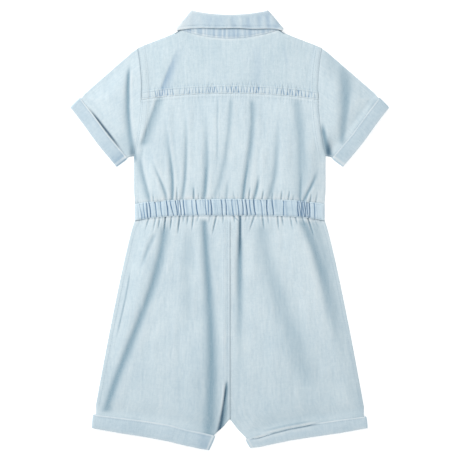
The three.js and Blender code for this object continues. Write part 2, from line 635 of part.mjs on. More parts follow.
function legEdges(sign, { plain, hemmed, seam }) {
  const { innerTop, innerBottom } = sign < 0 ? HEMS.left : HEMS.right;
  const hem = hemOf(sign);
  const outerY = (q) => lookUp([[0, waistBottomY(WAIST_HALF - plain) - SEAM / 2], [HEM_SHARE, -263.5],
    [1, HEM_OUTER_Y + HEM_INSIDE]], q);
  const outer = (q) => {
    const y = outerY(q);
    return plan(sign * (legSideX(y) - legInset(sign * legSideX(y), y, plain, hemmed)), y);
  };
  const innerLine = [[seam, WAIST_BOTTOM_Y - SEAM / 2], [seam, CROTCH_Y],
    [innerTop, lookUp(hem.top, innerTop)], [innerBottom, lookUp(hem.bottom, innerBottom) + HEM_INSIDE]];
  const inner = (q) => {
    const point = onLine(innerLine, LEG_SHARES, q);
    const below = smoothstep(-point.y, -CROTCH_Y, -CROTCH_Y + 4);
    const inset = legInset(sign * point.x, point.y, plain, hemmed) / INSEAM_SLANT;
    return plan(sign * (point.x + below * inset), point.y);
  };
  const firstEnd = [outer(0), inner(0)];
  const lastEnd = [outer(1), inner(1)];
  return {
    start: outer,
    end: inner,
    first: (s) => {
      const x = lerp(firstEnd[0].x, firstEnd[1].x, s);
      return plan(x, waistBottomY(x) - SEAM / 2);
    },
    last: (s) => {
      const x = lerp(lastEnd[0].x, lastEnd[1].x, s);
      const straight = lerp(lastEnd[0].y, lastEnd[1].y, s);
      const ends = [0, 1].map((k) => lookUp(hem.bottom, Math.abs(lastEnd[k].x)));
      return plan(x, straight + lookUp(hem.bottom, Math.abs(x)) - lerp(ends[0], ends[1], s));
    },
  };
}

const BACK_LEG_PLACES = [0, 0.04, 0.1, 0.2, 0.34, 0.49, 0.65, CROTCH_SHARE, 0.812, 0.85, 0.88, 0.905, 1];
const FRONT_LEG_PLACES = [0, 0.2, 0.49, CROTCH_SHARE, 0.812, 0.85, 0.88, 0.905, 1];

for (const [side, sign] of [['left', -1], ['right', 1]]) {
  const legTurn = (x, y) => ({ start: 1, end: smoothstep(-y, -CROTCH_Y + 1, -CROTCH_Y + 4), top: 0 });
  addPiece(`leg_back_${side}`, wallGeometry(panelRows({
    edges: legEdges(sign, { plain: EDGE_INSET, hemmed: 3.2, seam: SEAM / 2 }),
    across: laneSteps(22, { turnStart: true, turnEnd: true }),
    along: laneSteps(0, { places: BACK_LEG_PLACES }),
    height: backHeight,
    turned: legTurn,
  })), MATERIALS.body);
  addPiece(`leg_front_${side}`, wallGeometry(panelRows({
    edges: legEdges(sign, { plain: FRONT_INSET, hemmed: 4.4, seam: SEAM / 2 }),
    across: laneSteps(15, {}),
    along: laneSteps(0, { places: FRONT_LEG_PLACES }),
    height: frontHeight,
  })), MATERIALS.shade);
}

// Grid of a flattened tube: over its upper layer, round a fold, back along its lower one and round.
// edgeAway gives the directions in which the two folds bulge.
function tubeRows({ edges, across, places, foldSteps, levels, edgeAway }) {
  return places.map((q) => {
    const row = [];
    const turn = (s, away, from) => {
      const centre = patchPoint(edges, s, q);
      const { low, high } = levels(centre.x, centre.y, q);
      for (let k = 1; k < foldSteps; k += 1) {
        const angle = (from * Math.PI) * (0.5 - k / foldSteps);
        const reach = ((high - low) / 2) * Math.cos(angle);
        const at = new THREE.Vector3(centre.x + away.x * reach, centre.y + away.y * reach,
          (high + low) / 2 + ((high - low) / 2) * Math.sin(angle));
        row.push({ at, upright: true });
      }
    };
    const layer = (pick, backwards) => {
      for (let k = 0; k <= across; k += 1) {
        const { x, y } = patchPoint(edges, backwards ? 1 - k / across : k / across, q);
        row.push({ at: new THREE.Vector3(x, y, pick(levels(x, y, q))), upright: true });
      }
    };
    layer(({ high }) => high, false);
    turn(1, edgeAway.end(q), 1);
    layer(({ low }) => low, true);
    turn(0, edgeAway.start(q), -1);
    return row;
  });
}

// Outward direction, in plan, across a line from one corner to the next
const acrossLine = (from, to, turn) => plan(turn * (to[1] - from[1]), turn * (from[0] - to[0])).normalize();
const mirror = (vector, sign) => plan(sign * vector.x, vector.y);

const OUTER_AWAY = acrossLine(SLEEVE_OUTER[0], SLEEVE_OUTER[1], -1);
const INNER_AWAY = acrossLine(SLEEVE_INNER[0], SLEEVE_INNER[2], 1);
const SLEEVE_SHARES = [0, CUFF_START, 1];
const SLEEVE_FOLD = (BACK_MID - FRONT_MID) / 2 + WALL / 2;
const CUFF_FOLD = (TURN_HIGH - TURN_LOW) / 2 + TURNED_WALL / 2;

// Sleeve: the armhole at q = 0, the cuff from CUFF_START, and its end just inside the cuff's fold
function sleeveEdge(corners, away, seamDirection, q) {
  const point = onLine(corners, SLEEVE_SHARES, Math.min(q, 1) - 0.05 * smoothstep(q, CUFF_START, 1));
  const inset = lerp(SLEEVE_FOLD, CUFF_FOLD, turnCover(point.x, point.y));
  const direction = mix(seamDirection, away, smoothstep(q, 0, 0.15)).normalize();
  return point.addScaledVector(direction, -inset).add(plan(SEAM / 2 * (1 - smoothstep(q, 0, 0.1)), 0));
}

const TOP_TANGENT = plan(0.2, 0.98);
const LOW_TANGENT = plan(0.23, -0.97);

for (const [side, sign] of [['left', -1], ['right', 1]]) {
  const outer = (q) => sleeveEdge(SLEEVE_OUTER, OUTER_AWAY, TOP_TANGENT, q);
  const inner = (q) => sleeveEdge(SLEEVE_INNER, INNER_AWAY, LOW_TANGENT, q);
  const ends = [outer(0), inner(0)];
  const armhole = (s) => {
    const y = lerp(ends[0].y, ends[1].y, s);
    const slack = lerp(ends[0].x - armholeX(ends[0].y), ends[1].x - armholeX(ends[1].y), s);
    return plan(armholeX(y) + slack, y);
  };
  const edges = {
    first: (s) => mirror(armhole(s), sign),
    last: (s) => mirror(mix(outer(1), inner(1), s), sign),
    start: (q) => mirror(outer(q), sign),
    end: (q) => mirror(inner(q), sign),
  };
  const away = (direction, seamDirection) => (q) => mirror(
    mix(seamDirection, direction, smoothstep(q, 0, 0.15)).normalize(), sign);
  addPiece(`sleeve_${side}`, wallGeometry(tubeRows({
    edges,
    across: 10,
    places: [0, 0.12, 0.26, 0.4, 0.54, 0.65, 0.73, 0.79, 0.84, 1],
    foldSteps: 4,
    levels: (x, y) => ({ low: frontHeight(x, y), high: backHeight(x, y) }),
    edgeAway: { start: away(OUTER_AWAY, TOP_TANGENT), end: away(INNER_AWAY, LOW_TANGENT) },
  }), { looped: true }), MATERIALS.body);

  const cuffLine = (corners, direction) => (q) => mirror(
    mix(plan(...corners[1]), plan(...corners[2]), q).addScaledVector(direction, -CUFF_FOLD), sign);
  const cuffOuter = cuffLine(SLEEVE_OUTER, OUTER_AWAY);
  const cuffInner = cuffLine(SLEEVE_INNER, INNER_AWAY);
  addPiece(`cuff_${side}`, wallGeometry(tubeRows({
    edges: {
      first: (s) => mix(cuffOuter(0), cuffInner(0), s),
      last: (s) => mix(cuffOuter(1), cuffInner(1), s),
      start: cuffOuter,
      end: cuffInner,
    },
    across: 6,
    places: [0, 0.5, 1],
    foldSteps: 6,
    levels: () => ({ low: TURN_LOW, high: TURN_HIGH }),
    edgeAway: { start: () => mirror(OUTER_AWAY, sign), end: () => mirror(INNER_AWAY, sign) },
  }), { wall: TURNED_WALL, looped: true }), MATERIALS.body);
}

// Leg hems, turned up round the ends of the legs
for (const [side, sign] of [['left', -1], ['right', 1]]) {
  const hem = hemOf(sign);
  const outerAway = plan(0.995, 0.1);
  const innerAway = plan(-0.9, -0.43).normalize();
  const hemLine = (table, innerX, outerX) => (s) => {
    const x = lerp(outerX - CUFF_FOLD, innerX + CUFF_FOLD * 0.9, s);
    return plan(sign * x, lookUp(table, lerp(outerX, innerX, s)) + 0.4 * CUFF_FOLD * smoothstep(s, 0.7, 1));
  };
  const topLine = hemLine(hem.top, hem.innerTop, 194);
  const bottomLine = hemLine(hem.bottom, hem.innerBottom, HEM_OUTER_X);
  addPiece(`hem_${side}`, wallGeometry(tubeRows({
    edges: {
      first: topLine,
      last: bottomLine,
      start: (q) => mix(topLine(0), bottomLine(0), q),
      end: (q) => mix(topLine(1), bottomLine(1), q),
    },
    across: 14,
    places: [0, 0.5, 1],
    foldSteps: 6,
    levels: () => ({ low: TURN_LOW, high: TURN_HIGH }),
    edgeAway: { start: () => mirror(outerAway, sign), end: () => mirror(innerAway, sign) },
  }), { wall: TURNED_WALL, looped: true }), MATERIALS.body);
}

// The collar's strips run from the front edge round one side fold, over the back and round the
// other. A step of a strip holds its place between the neck edge and the roll, and its facing.
const SIDE_AWAY = plan(0.762, 0.648);
const COLLAR_FOLD_STEPS = 5;
const LEAF_STEPS = 9;
const COLLAR_BACK_STEPS = 12;

function stripSteps() {
  const half = [];
  for (let k = 0; k < LEAF_STEPS; k += 1) half.push({ leaf: k / LEAF_STEPS, facing: -Math.PI / 2 });
  for (let k = 0; k <= COLLAR_FOLD_STEPS; k += 1) {
    half.push({ leaf: 1, facing: Math.PI * (k / COLLAR_FOLD_STEPS - 0.5) });
  }
  const back = [];
  for (let k = 1; k < COLLAR_BACK_STEPS; k += 1) {
    back.push({ back: 1 - 2 * (k / COLLAR_BACK_STEPS), facing: Math.PI / 2, sign: 1 });
  }
  return [...half.map((step) => ({ ...step, sign: 1 })), ...back,
    ...half.toReversed().map((step) => ({ ...step, sign: -1 }))];
}

// Places of one strip. leafLine and backLine give its edge in plan at the two ends of share v.
function stripPoint(step, v, { leafLine, backLine, low, high }) {
  const radius = (high - low) / 2;
  const flat = step.back === undefined ? leafLine(step.leaf, v) : backLine(step.back, v);
  const reach = radius * Math.cos(step.facing);
  const x = step.back === undefined ? step.sign * (flat.x + SIDE_AWAY.x * reach) : flat.x;
  return new THREE.Vector3(x, flat.y + (step.back === undefined ? SIDE_AWAY.y * reach : 0),
    (high + low) / 2 + radius * Math.sin(step.facing));
}

// The roll line, where the fall turns over the stand
const rollFront = (leaf) => {
  const angle = leaf * Math.PI / 2;
  return plan(LEAF_TOP[0] + (ROLL_HALF - LEAF_TOP[0]) * Math.sin(angle),
    ROLL_SIDE_Y - (ROLL_SIDE_Y - LEAF_TOP[1]) * Math.cos(angle));
};
const rollBack = (back) => plan(ROLL_HALF * back, rollBackY(ROLL_HALF * back));

const standShape = {
  low: STAND_LOW,
  high: STAND_HIGH,
  leafLine: (leaf, v) => {
    const firstAngle = 0.015;
    const neck = frontNeck(lerp(firstAngle, Math.PI / 2, leaf), -SEAM);
    return mix(neck, rollFront(leaf), v * 0.975);
  },
  backLine: (back, v) => {
    const x = (NECK_HALF - SEAM) * back;
    return mix(plan(x, backNeckY(x) + 3 * SEAM), rollBack(back), v * 0.975);
  },
};
addPiece('collar_stand', wallGeometry([0, 0.5, 1].map((v) => stripSteps().map((step) => (
  { at: stripPoint(step, v, standShape), upright: false }))), {}), MATERIALS.shade);

const fallShape = {
  low: FALL_LOW,
  high: FALL_HIGH,
  leafLine: (leaf, v) => mix(rollFront(leaf), mix(plan(...LEAF_POINT), plan(...FALL_SIDE), leaf), v),
  backLine: (back, v) => {
    const bow = 1 - Math.abs(back) ** 6;
    const edge = plan(FALL_SIDE[0] * back, lerp(FALL_SIDE[1], FALL_EDGE_Y, bow));
    return mix(rollBack(back), edge, v);
  },
};

// The fall starts on the stand's edge, turns half round the roll and lies down to its own edge.
function fallRow(turnAngle, v) {
  return stripSteps().map((step) => {
    const at = stripPoint(step, v, fallShape);
    if (turnAngle > 0) {
      const edge = stripPoint(step, 1, fallShape);
      const up = at.clone().sub(edge).setZ(0).normalize();
      const inward = new THREE.Vector3(-step.sign * SIDE_AWAY.x * Math.cos(step.facing),
        -SIDE_AWAY.y * Math.cos(step.facing), -Math.sin(step.facing));
      at.addScaledVector(up, COLLAR_ROLL_RADIUS * Math.sin(turnAngle));
      at.addScaledVector(inward, COLLAR_ROLL_RADIUS * (1 - Math.cos(turnAngle)));
    }
    return { at, upright: false };
  });
}

const ROLL_TURN_STEPS = 3;
const fallRows = [];
for (let k = ROLL_TURN_STEPS; k > 0; k -= 1) fallRows.push(fallRow(Math.PI * k / ROLL_TURN_STEPS, 0));
for (const v of [0, 0.5, 1]) fallRows.push(fallRow(0, v));
addPiece('collar_fall', wallGeometry(fallRows), MATERIALS.body);

const BELOW_CENTRE = 0.2;
romper.position.y = BELOW_CENTRE;

export default romper;
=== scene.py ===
import math

import bpy
import numpy as np
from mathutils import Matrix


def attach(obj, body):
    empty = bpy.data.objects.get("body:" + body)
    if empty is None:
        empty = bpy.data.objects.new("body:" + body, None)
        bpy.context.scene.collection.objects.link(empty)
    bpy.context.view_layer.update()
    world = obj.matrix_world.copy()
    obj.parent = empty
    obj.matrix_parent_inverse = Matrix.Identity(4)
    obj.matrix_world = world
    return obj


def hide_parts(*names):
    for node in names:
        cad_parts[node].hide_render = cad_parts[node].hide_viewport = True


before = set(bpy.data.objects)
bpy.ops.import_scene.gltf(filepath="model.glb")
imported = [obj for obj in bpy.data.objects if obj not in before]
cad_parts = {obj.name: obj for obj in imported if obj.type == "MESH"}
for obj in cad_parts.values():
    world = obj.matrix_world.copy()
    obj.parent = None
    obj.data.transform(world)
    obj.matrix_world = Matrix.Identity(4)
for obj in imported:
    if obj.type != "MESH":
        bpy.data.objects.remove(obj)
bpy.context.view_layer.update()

# A small child's chambray romper, laid flat on its front and seen from straight above.
# Lengths are in millimetres until a mesh is made. +Y points to the collar, and left and right are
# the wearer's own, so the left half is at negative x.
MM = 0.001
BELOW_CENTRE = 0.2

# Cloth
WALL = 0.6
TURNED_WALL = 0.8
ON_TABLE = 0.02

# Heights of the middle of each layer above the table
FRONT_MID = 0.4
BACK_MID = 2.0
TURN_LIFT = 1.5
TURN_LOW = 0.45
TURN_HIGH = 5.0
STAND_LOW = 1.7
STAND_HIGH = 4.0
FALL_LOW = 0.5
FALL_HIGH = 5.7
PUFF = 5.2

# Body
CHEST_HALF = 136
WAIST_HALF = 134.8
ARMPIT_Y = 105
SHOULDER = (130.9, 258.2)
NECK_HALF = 69.2
NECK_SIDE_Y = 284.7
BACK_NECK_DEPTH = 12.1
FRONT_NECK_DEPTH = 52
YOKE_SEAM_Y = 193.5
WAIST_TOP_Y = 43.9
WAIST_BOTTOM_Y = 20.2
WAIST_DROP = 7
SHOULDER_LINE = [(NECK_HALF, NECK_SIDE_Y), (76.3, 280), (90.9, 273.9), (120, 262.9), SHOULDER]

# Shorts
LEG_TOP_Y = 13
LEG_FLARE = 61
HEM_OUTER = (195.6, -280.6)
CROTCH_Y = -267
HEMS = {
    "left": {
        "top": [(20.7, -293.1), (40, -288.5), (60, -284), (85, -277), (120, -271.5), (160, -266.5),
                (194, -262.7)],
        "bottom": [(29, -312.2), (40, -310.4), (60, -305.6), (85, -299.2), (120, -292.8), (160, -286.8),
                   HEM_OUTER],
    },
    "right": {
        "top": [(22.5, -298), (40, -294.6), (60, -287.5), (85, -281), (120, -275), (160, -269.5),
                (194, -265.4)],
        "bottom": [(29, -309.4), (40, -308), (60, -303), (85, -297.6), (120, -292.5), (160, -286.8),
                   HEM_OUTER],
    },
}

# Sleeves: outer line over the shoulder, inner line under the arm
SLEEVE_OUTER = [(131.2, 258.7), (213.2, 187.4), (225.6, 174.3)]
SLEEVE_INNER = [(136, 105), (145.5, 100.8), (160.1, 89.7)]
CUFF_START = 0.82

# Collar
ROLL_HALF = 52
ROLL_SIDE_Y = 309.4
ROLL_BACK_Y = 303.9
FALL_EDGE_Y = 286.4
FALL_SIDE = (74.4, 283.0)
LEAF_POINT = (40, 212)
LEAF_TOP = (2, 255)

# Front fastening
PLACKET_WIDTH = 17
BUTTON_RADIUS = 5.5
BUTTON_TOP_Y = 221
BUTTON_STEP = 41
BUTTON_COUNT = 5
PLACKET_MID = 2.5
LAP_MID = 3.6
CENTRE_MID = 4.6

# Large creases of the back. Each runs from its top to its bottom height through four evenly
# spaced places. Its width, half of what shows, goes from wide_0 at the top to wide_1 at the bottom.
# Depth is how far in it goes and how strong its painted shade is, partly unfaded blue, rise and end
# are the lengths over which it deepens and fades, skew above 0 makes its right side the gentler one,
# and ridge is the fold of cloth that stands up beside it with a painted highlight, to the left where negative.
CREASES = [
    # top, bottom, x0, x1, x2, x3, wide_0, wide_1, depth, rise, end, skew, ridge
    # bodice, from the left
    (270, 114, -67.8, -88.8, -107.8, -125.5, 2.8, 4.6, 0.75, 50, 12, 0.45, 0.2),
    (118, 41, -127.4, -127, -121, -114.7, 3.4, 2.8, 0.70, 24, 0, -0.3, 0.3),
    (111, 41, -113.2, -106, -96, -90, 1.6, 2.2, 0.60, 60, 0, 0, 0.2),
    (178, 41, -92, -89, -82.7, -82, 2.8, 2.1, 0.80, 125, 0, -0.2, 0.3),
    (189, 41, -63.5, -62.5, -62.8, -68.5, 1.9, 2.2, 0.62, 120, 0, 0, 0.3),
    (185, 41, -38, -33.7, -33.2, -37, 3.6, 2.6, 0.80, 125, 0, -0.1, 0.4),
    (192, 92, -17.5, -17.5, -17.5, -18, 1.1, 1.1, 0.25, 10, 30, 0, 0.2),
    (77, 41, -52.5, -52, -52, -53, 1.8, 1.8, 0.30, 25, 0, 0, 0),
    (190, 44, 1.8, -1.5, -8.9, -22.4, 2.3, 3.4, 0.50, 10, 0, 0.1, 0.3),
    (78, 41, -3.2, -3.9, -4.6, -6.7, 1.8, 1.8, 0.50, 25, 0, 0, 0.2),
    (190, 41, 30.2, 31, 24.8, 18.5, 2.8, 3.6, 0.68, 12, 0, 0.1, 0.4),
    (105, 41, 26.9, 24, 20.9, 18.5, 1.4, 1.5, 1.20, 40, 0, -0.2, 0.3),
    (185, 41, 71.4, 67.5, 64.5, 54.8, 3.4, 2.8, 0.58, 125, 0, 0, 0.3),
    (190, 41, 93.8, 99.3, 101.2, 99, 4.6, 5.6, 0.60, 12, 0, 0.1, 0.2),
    (90, 41, 101.4, 100.8, 100.4, 99.3, 1.4, 1.5, 0.60, 30, 0, 0, 0.2),
    (92, 44, 126, 121.3, 114.4, 106.1, 1.9, 2.1, 0.85, 30, 0, 0, 0.4),
    (82, 44, 41.5, 40.1, 37.7, 34.4, 1.9, 1.9, 0.70, 25, 0, 0, 0.3),
    # yoke
    (270, 199, 38, 40, 40, 37, 4.6, 4.6, 0.25, 28, 14, -0.4, 0.8),
    (273, 224, 71, 76, 80, 84, 2.0, 2.0, 0.18, 20, 20, 0, 0.1),
    (239, 216, -27, -25, -23, -21, 2.0, 2.0, 0.12, 10, 10, 0, 0.1),
    (224, 206, -8, -7, -5, -4, 2.0, 2.0, 0.15, 8, 8, 0, 0.1),
    # left leg
    (18, -262, -92.3, -109.2, -144.6, -178.2, 4.6, 4.6, 0.94, 22, 8, 0.15, 0.3),
    (18, -290, -36.9, -30.2, -26.2, -31.5, 3.5, 7.2, 1.00, 8, 0, 0, 0.3),
    (-190, -290, -41, -38, -36, -44, 9, 9, 0.30, 40, 0, 0, 0),
    (0, -90, -30.5, -27, -24.5, -23, 4, 5, 0.38, 18, 45, 0, 0),
    (-212, -290, -5, -6.5, -9.5, -14, 1.6, 1.6, 0.90, 14, 0, 0.3, -0.9),
    (0, -60, -104, -113, -121, -127, 2.6, 2.2, 0.45, 14, 26, 0, 0.2),
    (-33, -145, -76, -90, -106, -123, 2.2, 2.2, 0.10, 30, 40, 0, 0.1),
    (11, -149, -56, -60, -60, -59, 4, 8, 0.25, 28, 57, 0, 0),
    (-50, -160, -141, -146, -154, -162, 0.9, 0.9, 0.60, 25, 30, 0, 0.2),
    # right leg, beginning with the pleat beside the seat seam
    (23, -62, 14.4, 14.6, 14.4, 14, 1.6, 2.2, 1.00, 0, 40, 0, -0.2),
    (6, -230, 14.6, 14, 14.4, 15, 3.4, 4.0, 0.95, 26, 190, 0, 0),
    (22, 11, 3.2, 6.8, 10.4, 14.0, 1.2, 1.2, 0.60, 0, 4, 0, 0.2),
    (18, -225, 100.5, 131.5, 151.5, 182, 5.2, 8.5, 0.95, 10, 185, 0.2, -0.4),
    (18, -250, 43, 60, 92, 117, 7.5, 14, 0.50, 20, 60, 0, 0.1),
    (16, -80, 115, 126, 134, 142, 6, 7, 0.62, 10, 40, 0, 0),
    (-110, -290, 165, 176, 186, 192, 11, 12, 0.26, 60, 10, 0, 0),
    (-150, -290, 98, 102, 104, 104, 26, 26, 0.16, 60, 20, 0, 0),
    # sleeves
    (262, 200, 133, 143, 150, 156, 12, 10, 0.30, 14, 30, 0, 0),
    (150, 106, -151, -150, -148, -146, 6, 7, 0.35, 22, 0, 0, 0),
    (239, 106, -142.4, -144.4, -143.4, -136.4, 1.8, 3.6, 0.98, 22, 0, -0.2, 0.5),
    (252, 118, 150, 163.5, 162.5, 158.5, 8.0, 2.6, 0.90, 40, 10, 0, 0.2),
    (156, 106, 130.3, 132.8, 136.1, 141.6, 1.8, 3.4, 1.30, 20, 0, 0, 0.4),
    (189, 163, 208, 204, 199, 195, 2.4, 2.4, 0.35, 8, 8, 0, 0.2),
]

# Short gathers that start at the waistband: x at the band, x at the far end, length, depth
GATHERS_BELOW = [
    (-128, -131, 10, 0.4), (-115, -120, 16, 0.6), (-105, -109, 20, 0.4), (-99, -102, 18, 0.5),
    (-91, -93.5, 24, 1.0),
    (-82.5, -84.5, 20, 0.7), (-71, -74, 26, 0.8), (-65, -66, 9, 0.4), (-59, -61, 13, 0.5),
    (-51.5, -54, 22, 0.6), (-44, -47, 9, 0.4), (-28, -30, 12, 0.4), (-19, -25, 28, 0.8), (-9, -10, 12, 0.5),
    (6, 7, 10, 0.5), (24, 22, 9, 0.4), (35, 27, 23, 0.6), (46.5, 48.5, 20, 0.5), (54, 55, 12, 0.4),
    (68, 69, 20, 0.6), (74, 76, 14, 0.6), (86, 89, 18, 0.5), (93, 96, 11, 0.6), (103, 107, 12, 0.5),
    (111, 119, 24, 1.0), (120, 126, 12, 0.4),
]
GATHERS_ABOVE = [
    (-108, -109, 12, 0.4), (-75, -75, 20, 0.5), (-51, -51, 18, 0.5), (-44, -44, 10, 0.4),
    (-15, -14, 10, 0.3), (6, 5, 12, 0.4), (12, 12, 9, 0.3), (27, 29, 18, 0.7), (46, 48, 14, 0.5),
    (60, 61, 10, 0.4), (73, 74, 15, 0.5), (83, 85, 14, 0.5), (90, 91, 9, 0.3), (114, 116, 15, 0.6),
    (122, 125, 18, 0.6),
]
GATHER_WIDTH = 1.15
CREASE_RELIEF = 0.55
CREASE_SHADE = 0.8

# Puckers of the elastic waistband: x at its top edge, x at its bottom edge, depth
PUCKERS = [
    (-131.0, -128.0, 0.3), (-127.7, -124.6, 0.4), (-122.6, -120.4, 0.3), (-118.5, -115.4, 0.8),
    (-114.3, -111.5, 0.9), (-106.6, -102.9, 0.6), (-99.0, -95.5, 0.4), (-89.5, -87.4, 0.9),
    (-84.6, -79.7, 0.7), (-77.0, -73.8, 0.8), (-74.0, -71.2, 0.6), (-70.7, -68.8, 0.9),
    (-65.8, -64.0, 0.7), (-54.2, -52.0, 0.3), (-48.8, -44.7, 0.7), (-34.6, -33.2, 0.5),
    (-31.0, -29.6, 0.4), (-26.6, -25.2, 1.0), (-12.4, -9.6, 0.8), (-6.3, -3.9, 0.8), (3.0, 5.0, 0.3),
    (10.9, 13.1, 0.6), (17.8, 19.2, 0.8), (22.9, 24.8, 1.0), (28.0, 30.2, 0.5), (33.6, 36.7, 0.9),
    (43.7, 46.9, 0.5), (52.4, 53.4, 1.0), (60.3, 62.1, 0.8), (76.0, 76.8, 0.5), (95.5, 98.2, 0.9),
    (98.2, 100.9, 0.7), (100.7, 103.4, 1.0), (103.3, 106.0, 0.8), (105.7, 108.3, 1.0), (109.3, 111.0, 0.9),
    (112.5, 113.9, 1.0),
    (119.5, 121.3, 0.5),
]
PUCKER_WIDTH = 0.75
PUCKER_DEPTH = 2.3

# Puckers of the double-stitched yoke seam, from the left to the right: place and depth
SEAM_PUCKERS = [
    (-113, 0.4), (-105, 0.8), (-102.5, 0.7), (-99, 0.9), (-95.5, 0.8), (-92, 0.5), (-88, 0.7),
    (-84, 0.6), (-80.5, 0.8), (-71, 0.4), (-64, 0.6), (-60.5, 0.5), (-57, 0.7), (-52, 0.5),
    (-48, 0.6), (-43.5, 0.7), (-38, 0.6), (-33, 0.6), (-30, 0.9), (-27.5, 0.9), (-24, 0.9),
    (-21.5, 0.9), (-18, 0.8), (-14.5, 0.5), (-9.5, 0.5), (-4, 0.8), (-1.5, 0.8), (2.5, 1.0),
    (6, 0.8), (9, 0.9), (12.5, 0.9), (17, 0.7), (20.5, 0.6), (24.5, 0.7), (29.5, 0.9), (34, 0.9),
    (38, 1.0), (41, 1.0), (46.5, 0.5), (50, 0.6), (56.5, 0.5), (61.5, 0.4), (67, 0.8), (73.5, 0.9),
    (76.5, 0.9), (82, 1.0), (85.5, 0.9), (89, 0.9), (94, 1.0), (97.5, 0.9), (102, 0.9), (107.5, 0.7),
    (112.5, 0.7), (116, 0.6), (120.5, 0.5),
]
SEAM_PUCKER_WIDTH = 0.95
SEAM_ROWS = (2.0, 9.6)

# How much of the puff each height of the garment takes
FULLNESS = [(-300, 0.35), (-262, 0.5), (-200, 0.75), (-60, 1), (6, 0.9), (16, 0.75), (42, 0.75),
            (50, 0.9), (110, 1), (180, 0.75), (196, 0.5), (262, 0.4), (285, 0.15)]
SLEEVE_FULLNESS = 0.8


# Small numeric helpers on arrays
def lerp(a, b, t):
    return a + (b - a) * t


def smooth(value, low, high):
    t = np.clip((value - low) / (high - low), 0, 1)
    return t * t * (3 - 2 * t)


def bell(distance, width):
    return np.exp(-(distance / width) ** 2)


def look_up(table, t):
    places, values = zip(*table)
    return np.interp(t, places, values)


def plan(x, y):
    return np.stack(np.broadcast_arrays(np.asarray(x, float), np.asarray(y, float)), -1)


def mix(a, b, t):
    return a + (b - a) * np.asarray(t, float)[..., None]


def unit(vectors):
    return vectors / np.maximum(np.linalg.norm(vectors, axis=-1, keepdims=True), 1e-9)


def on_line(corners, shares, t):
    return plan(np.interp(t, shares, [x for x, _ in corners]), np.interp(t, shares, [y for _, y in corners]))


def through_four(values, t):
    """The curve through four values evenly spaced from t = 0 to t = 1."""
    a, b, c, d = values
    s = 3 * t
    return (-a * (s - 1) * (s - 2) * (s - 3) / 6 + b * s * (s - 2) * (s - 3) / 2
            - c * s * (s - 1) * (s - 3) / 2 + d * s * (s - 1) * (s - 2) / 6)


def waves(x, y, size_x, size_y, seed):
    """Soft random relief between -1 and 1 whose hollows measure about size_x by size_y."""
    cells = 128
    lattice = np.random.default_rng(seed).uniform(-1, 1, (cells, cells))
    u = x / size_x + 40.3
    v = y / size_y + 51.7
    i = np.floor(u).astype(int)
    j = np.floor(v).astype(int)
    fu = smooth(u - i, 0, 1)
    fv = smooth(v - j, 0, 1)
    low = lerp(lattice[j % cells, i % cells], lattice[j % cells, (i + 1) % cells], fu)
    high = lerp(lattice[(j + 1) % cells, i % cells], lattice[(j + 1) % cells, (i + 1) % cells], fu)
    return lerp(low, high, fv)


# Outline and seams of the body, as functions of place
def armhole_x(y):
    return 125 + np.where(y > 200, 0.00174, 0.00122) * (y - 200) ** 2


def side_x(y):
    waist = lerp(WAIST_HALF, CHEST_HALF, smooth(y, WAIST_TOP_Y - WAIST_DROP, WAIST_TOP_Y + 16))
    return np.where(y > ARMPIT_Y, armhole_x(y), waist)


def leg_side_x(y):
    below = np.maximum(LEG_TOP_Y - y, 0) / (LEG_TOP_Y - HEM_OUTER[1])
    return WAIST_HALF + LEG_FLARE * below ** 0.86


def yoke_seam_y(x):
    return YOKE_SEAM_Y - 8.9 * np.abs(x / 125.2) ** 2.2


def waist_top_y(x):
    return WAIST_TOP_Y - WAIST_DROP * np.abs(x / WAIST_HALF) ** 3.5


def waist_bottom_y(x):
    return WAIST_BOTTOM_Y - WAIST_DROP * np.abs(x / WAIST_HALF) ** 3.5


def back_neck_y(x):
    return NECK_SIDE_Y - BACK_NECK_DEPTH * (1 - (x / NECK_HALF) ** 2)


def above_hem(x, y):
    left = look_up(HEMS["left"]["top"], np.abs(x))
    right = look_up(HEMS["right"]["top"], np.abs(x))
    return y - np.where(x < 0, left, right)


CUFF_NORMAL = unit(plan(SLEEVE_INNER[1][1] - SLEEVE_OUTER[1][1], SLEEVE_OUTER[1][0] - SLEEVE_INNER[1][0]))


def inside_cuff(x, y):
    return (plan(np.abs(x), y) - np.array(SLEEVE_OUTER[1])) @ CUFF_NORMAL


OUTLINE = [(76, 281), SLEEVE_OUTER[0], SLEEVE_OUTER[1], SLEEVE_INNER[1], (CHEST_HALF, ARMPIT_Y),
           (CHEST_HALF, 42), (WAIST_HALF, LEG_TOP_Y), (154, -71), (178.5, -184.6), (193.7, -263.5),
           (110, -275), (22, -295), (10, -276), (0, CROTCH_Y)]


def distance_to_line(corners, points):
    nearest = np.full(points.shape[:-1], np.inf)
    for a, b in zip(corners[:-1], corners[1:]):
        side = np.subtract(b, a)
        share = np.clip((points - a) @ side / (side @ side), 0, 1)
        nearest = np.minimum(nearest, np.linalg.norm(points - a - share[..., None] * side, axis=-1))
    return nearest


# Heights of the layers
LEAF = [(2, 255), LEAF_POINT, FALL_SIDE, (ROLL_HALF, ROLL_SIDE_Y)]


def collar_cover(x, y):
    """1 where a leaf of the collar lies below the fronts."""
    points = plan(np.abs(x), y)
    outside = np.full(points.shape[:-1], -np.inf)
    for a, b in zip(LEAF, LEAF[1:] + LEAF[:1]):
        side = unit(np.subtract(b, a).astype(float))
        offset = points - a
        outside = np.maximum(outside, offset[..., 0] * side[1] - offset[..., 1] * side[0])
    return 1 - smooth(outside, 6, 46)


def neck_cover(x, y):
    beside = np.maximum(np.abs(x) - NECK_HALF, 0)
    below = np.maximum(back_neck_y(np.minimum(np.abs(x), NECK_HALF)) - y, 0)
    return np.maximum(collar_cover(x, y), 1 - smooth(np.hypot(beside, below), 8, 50))


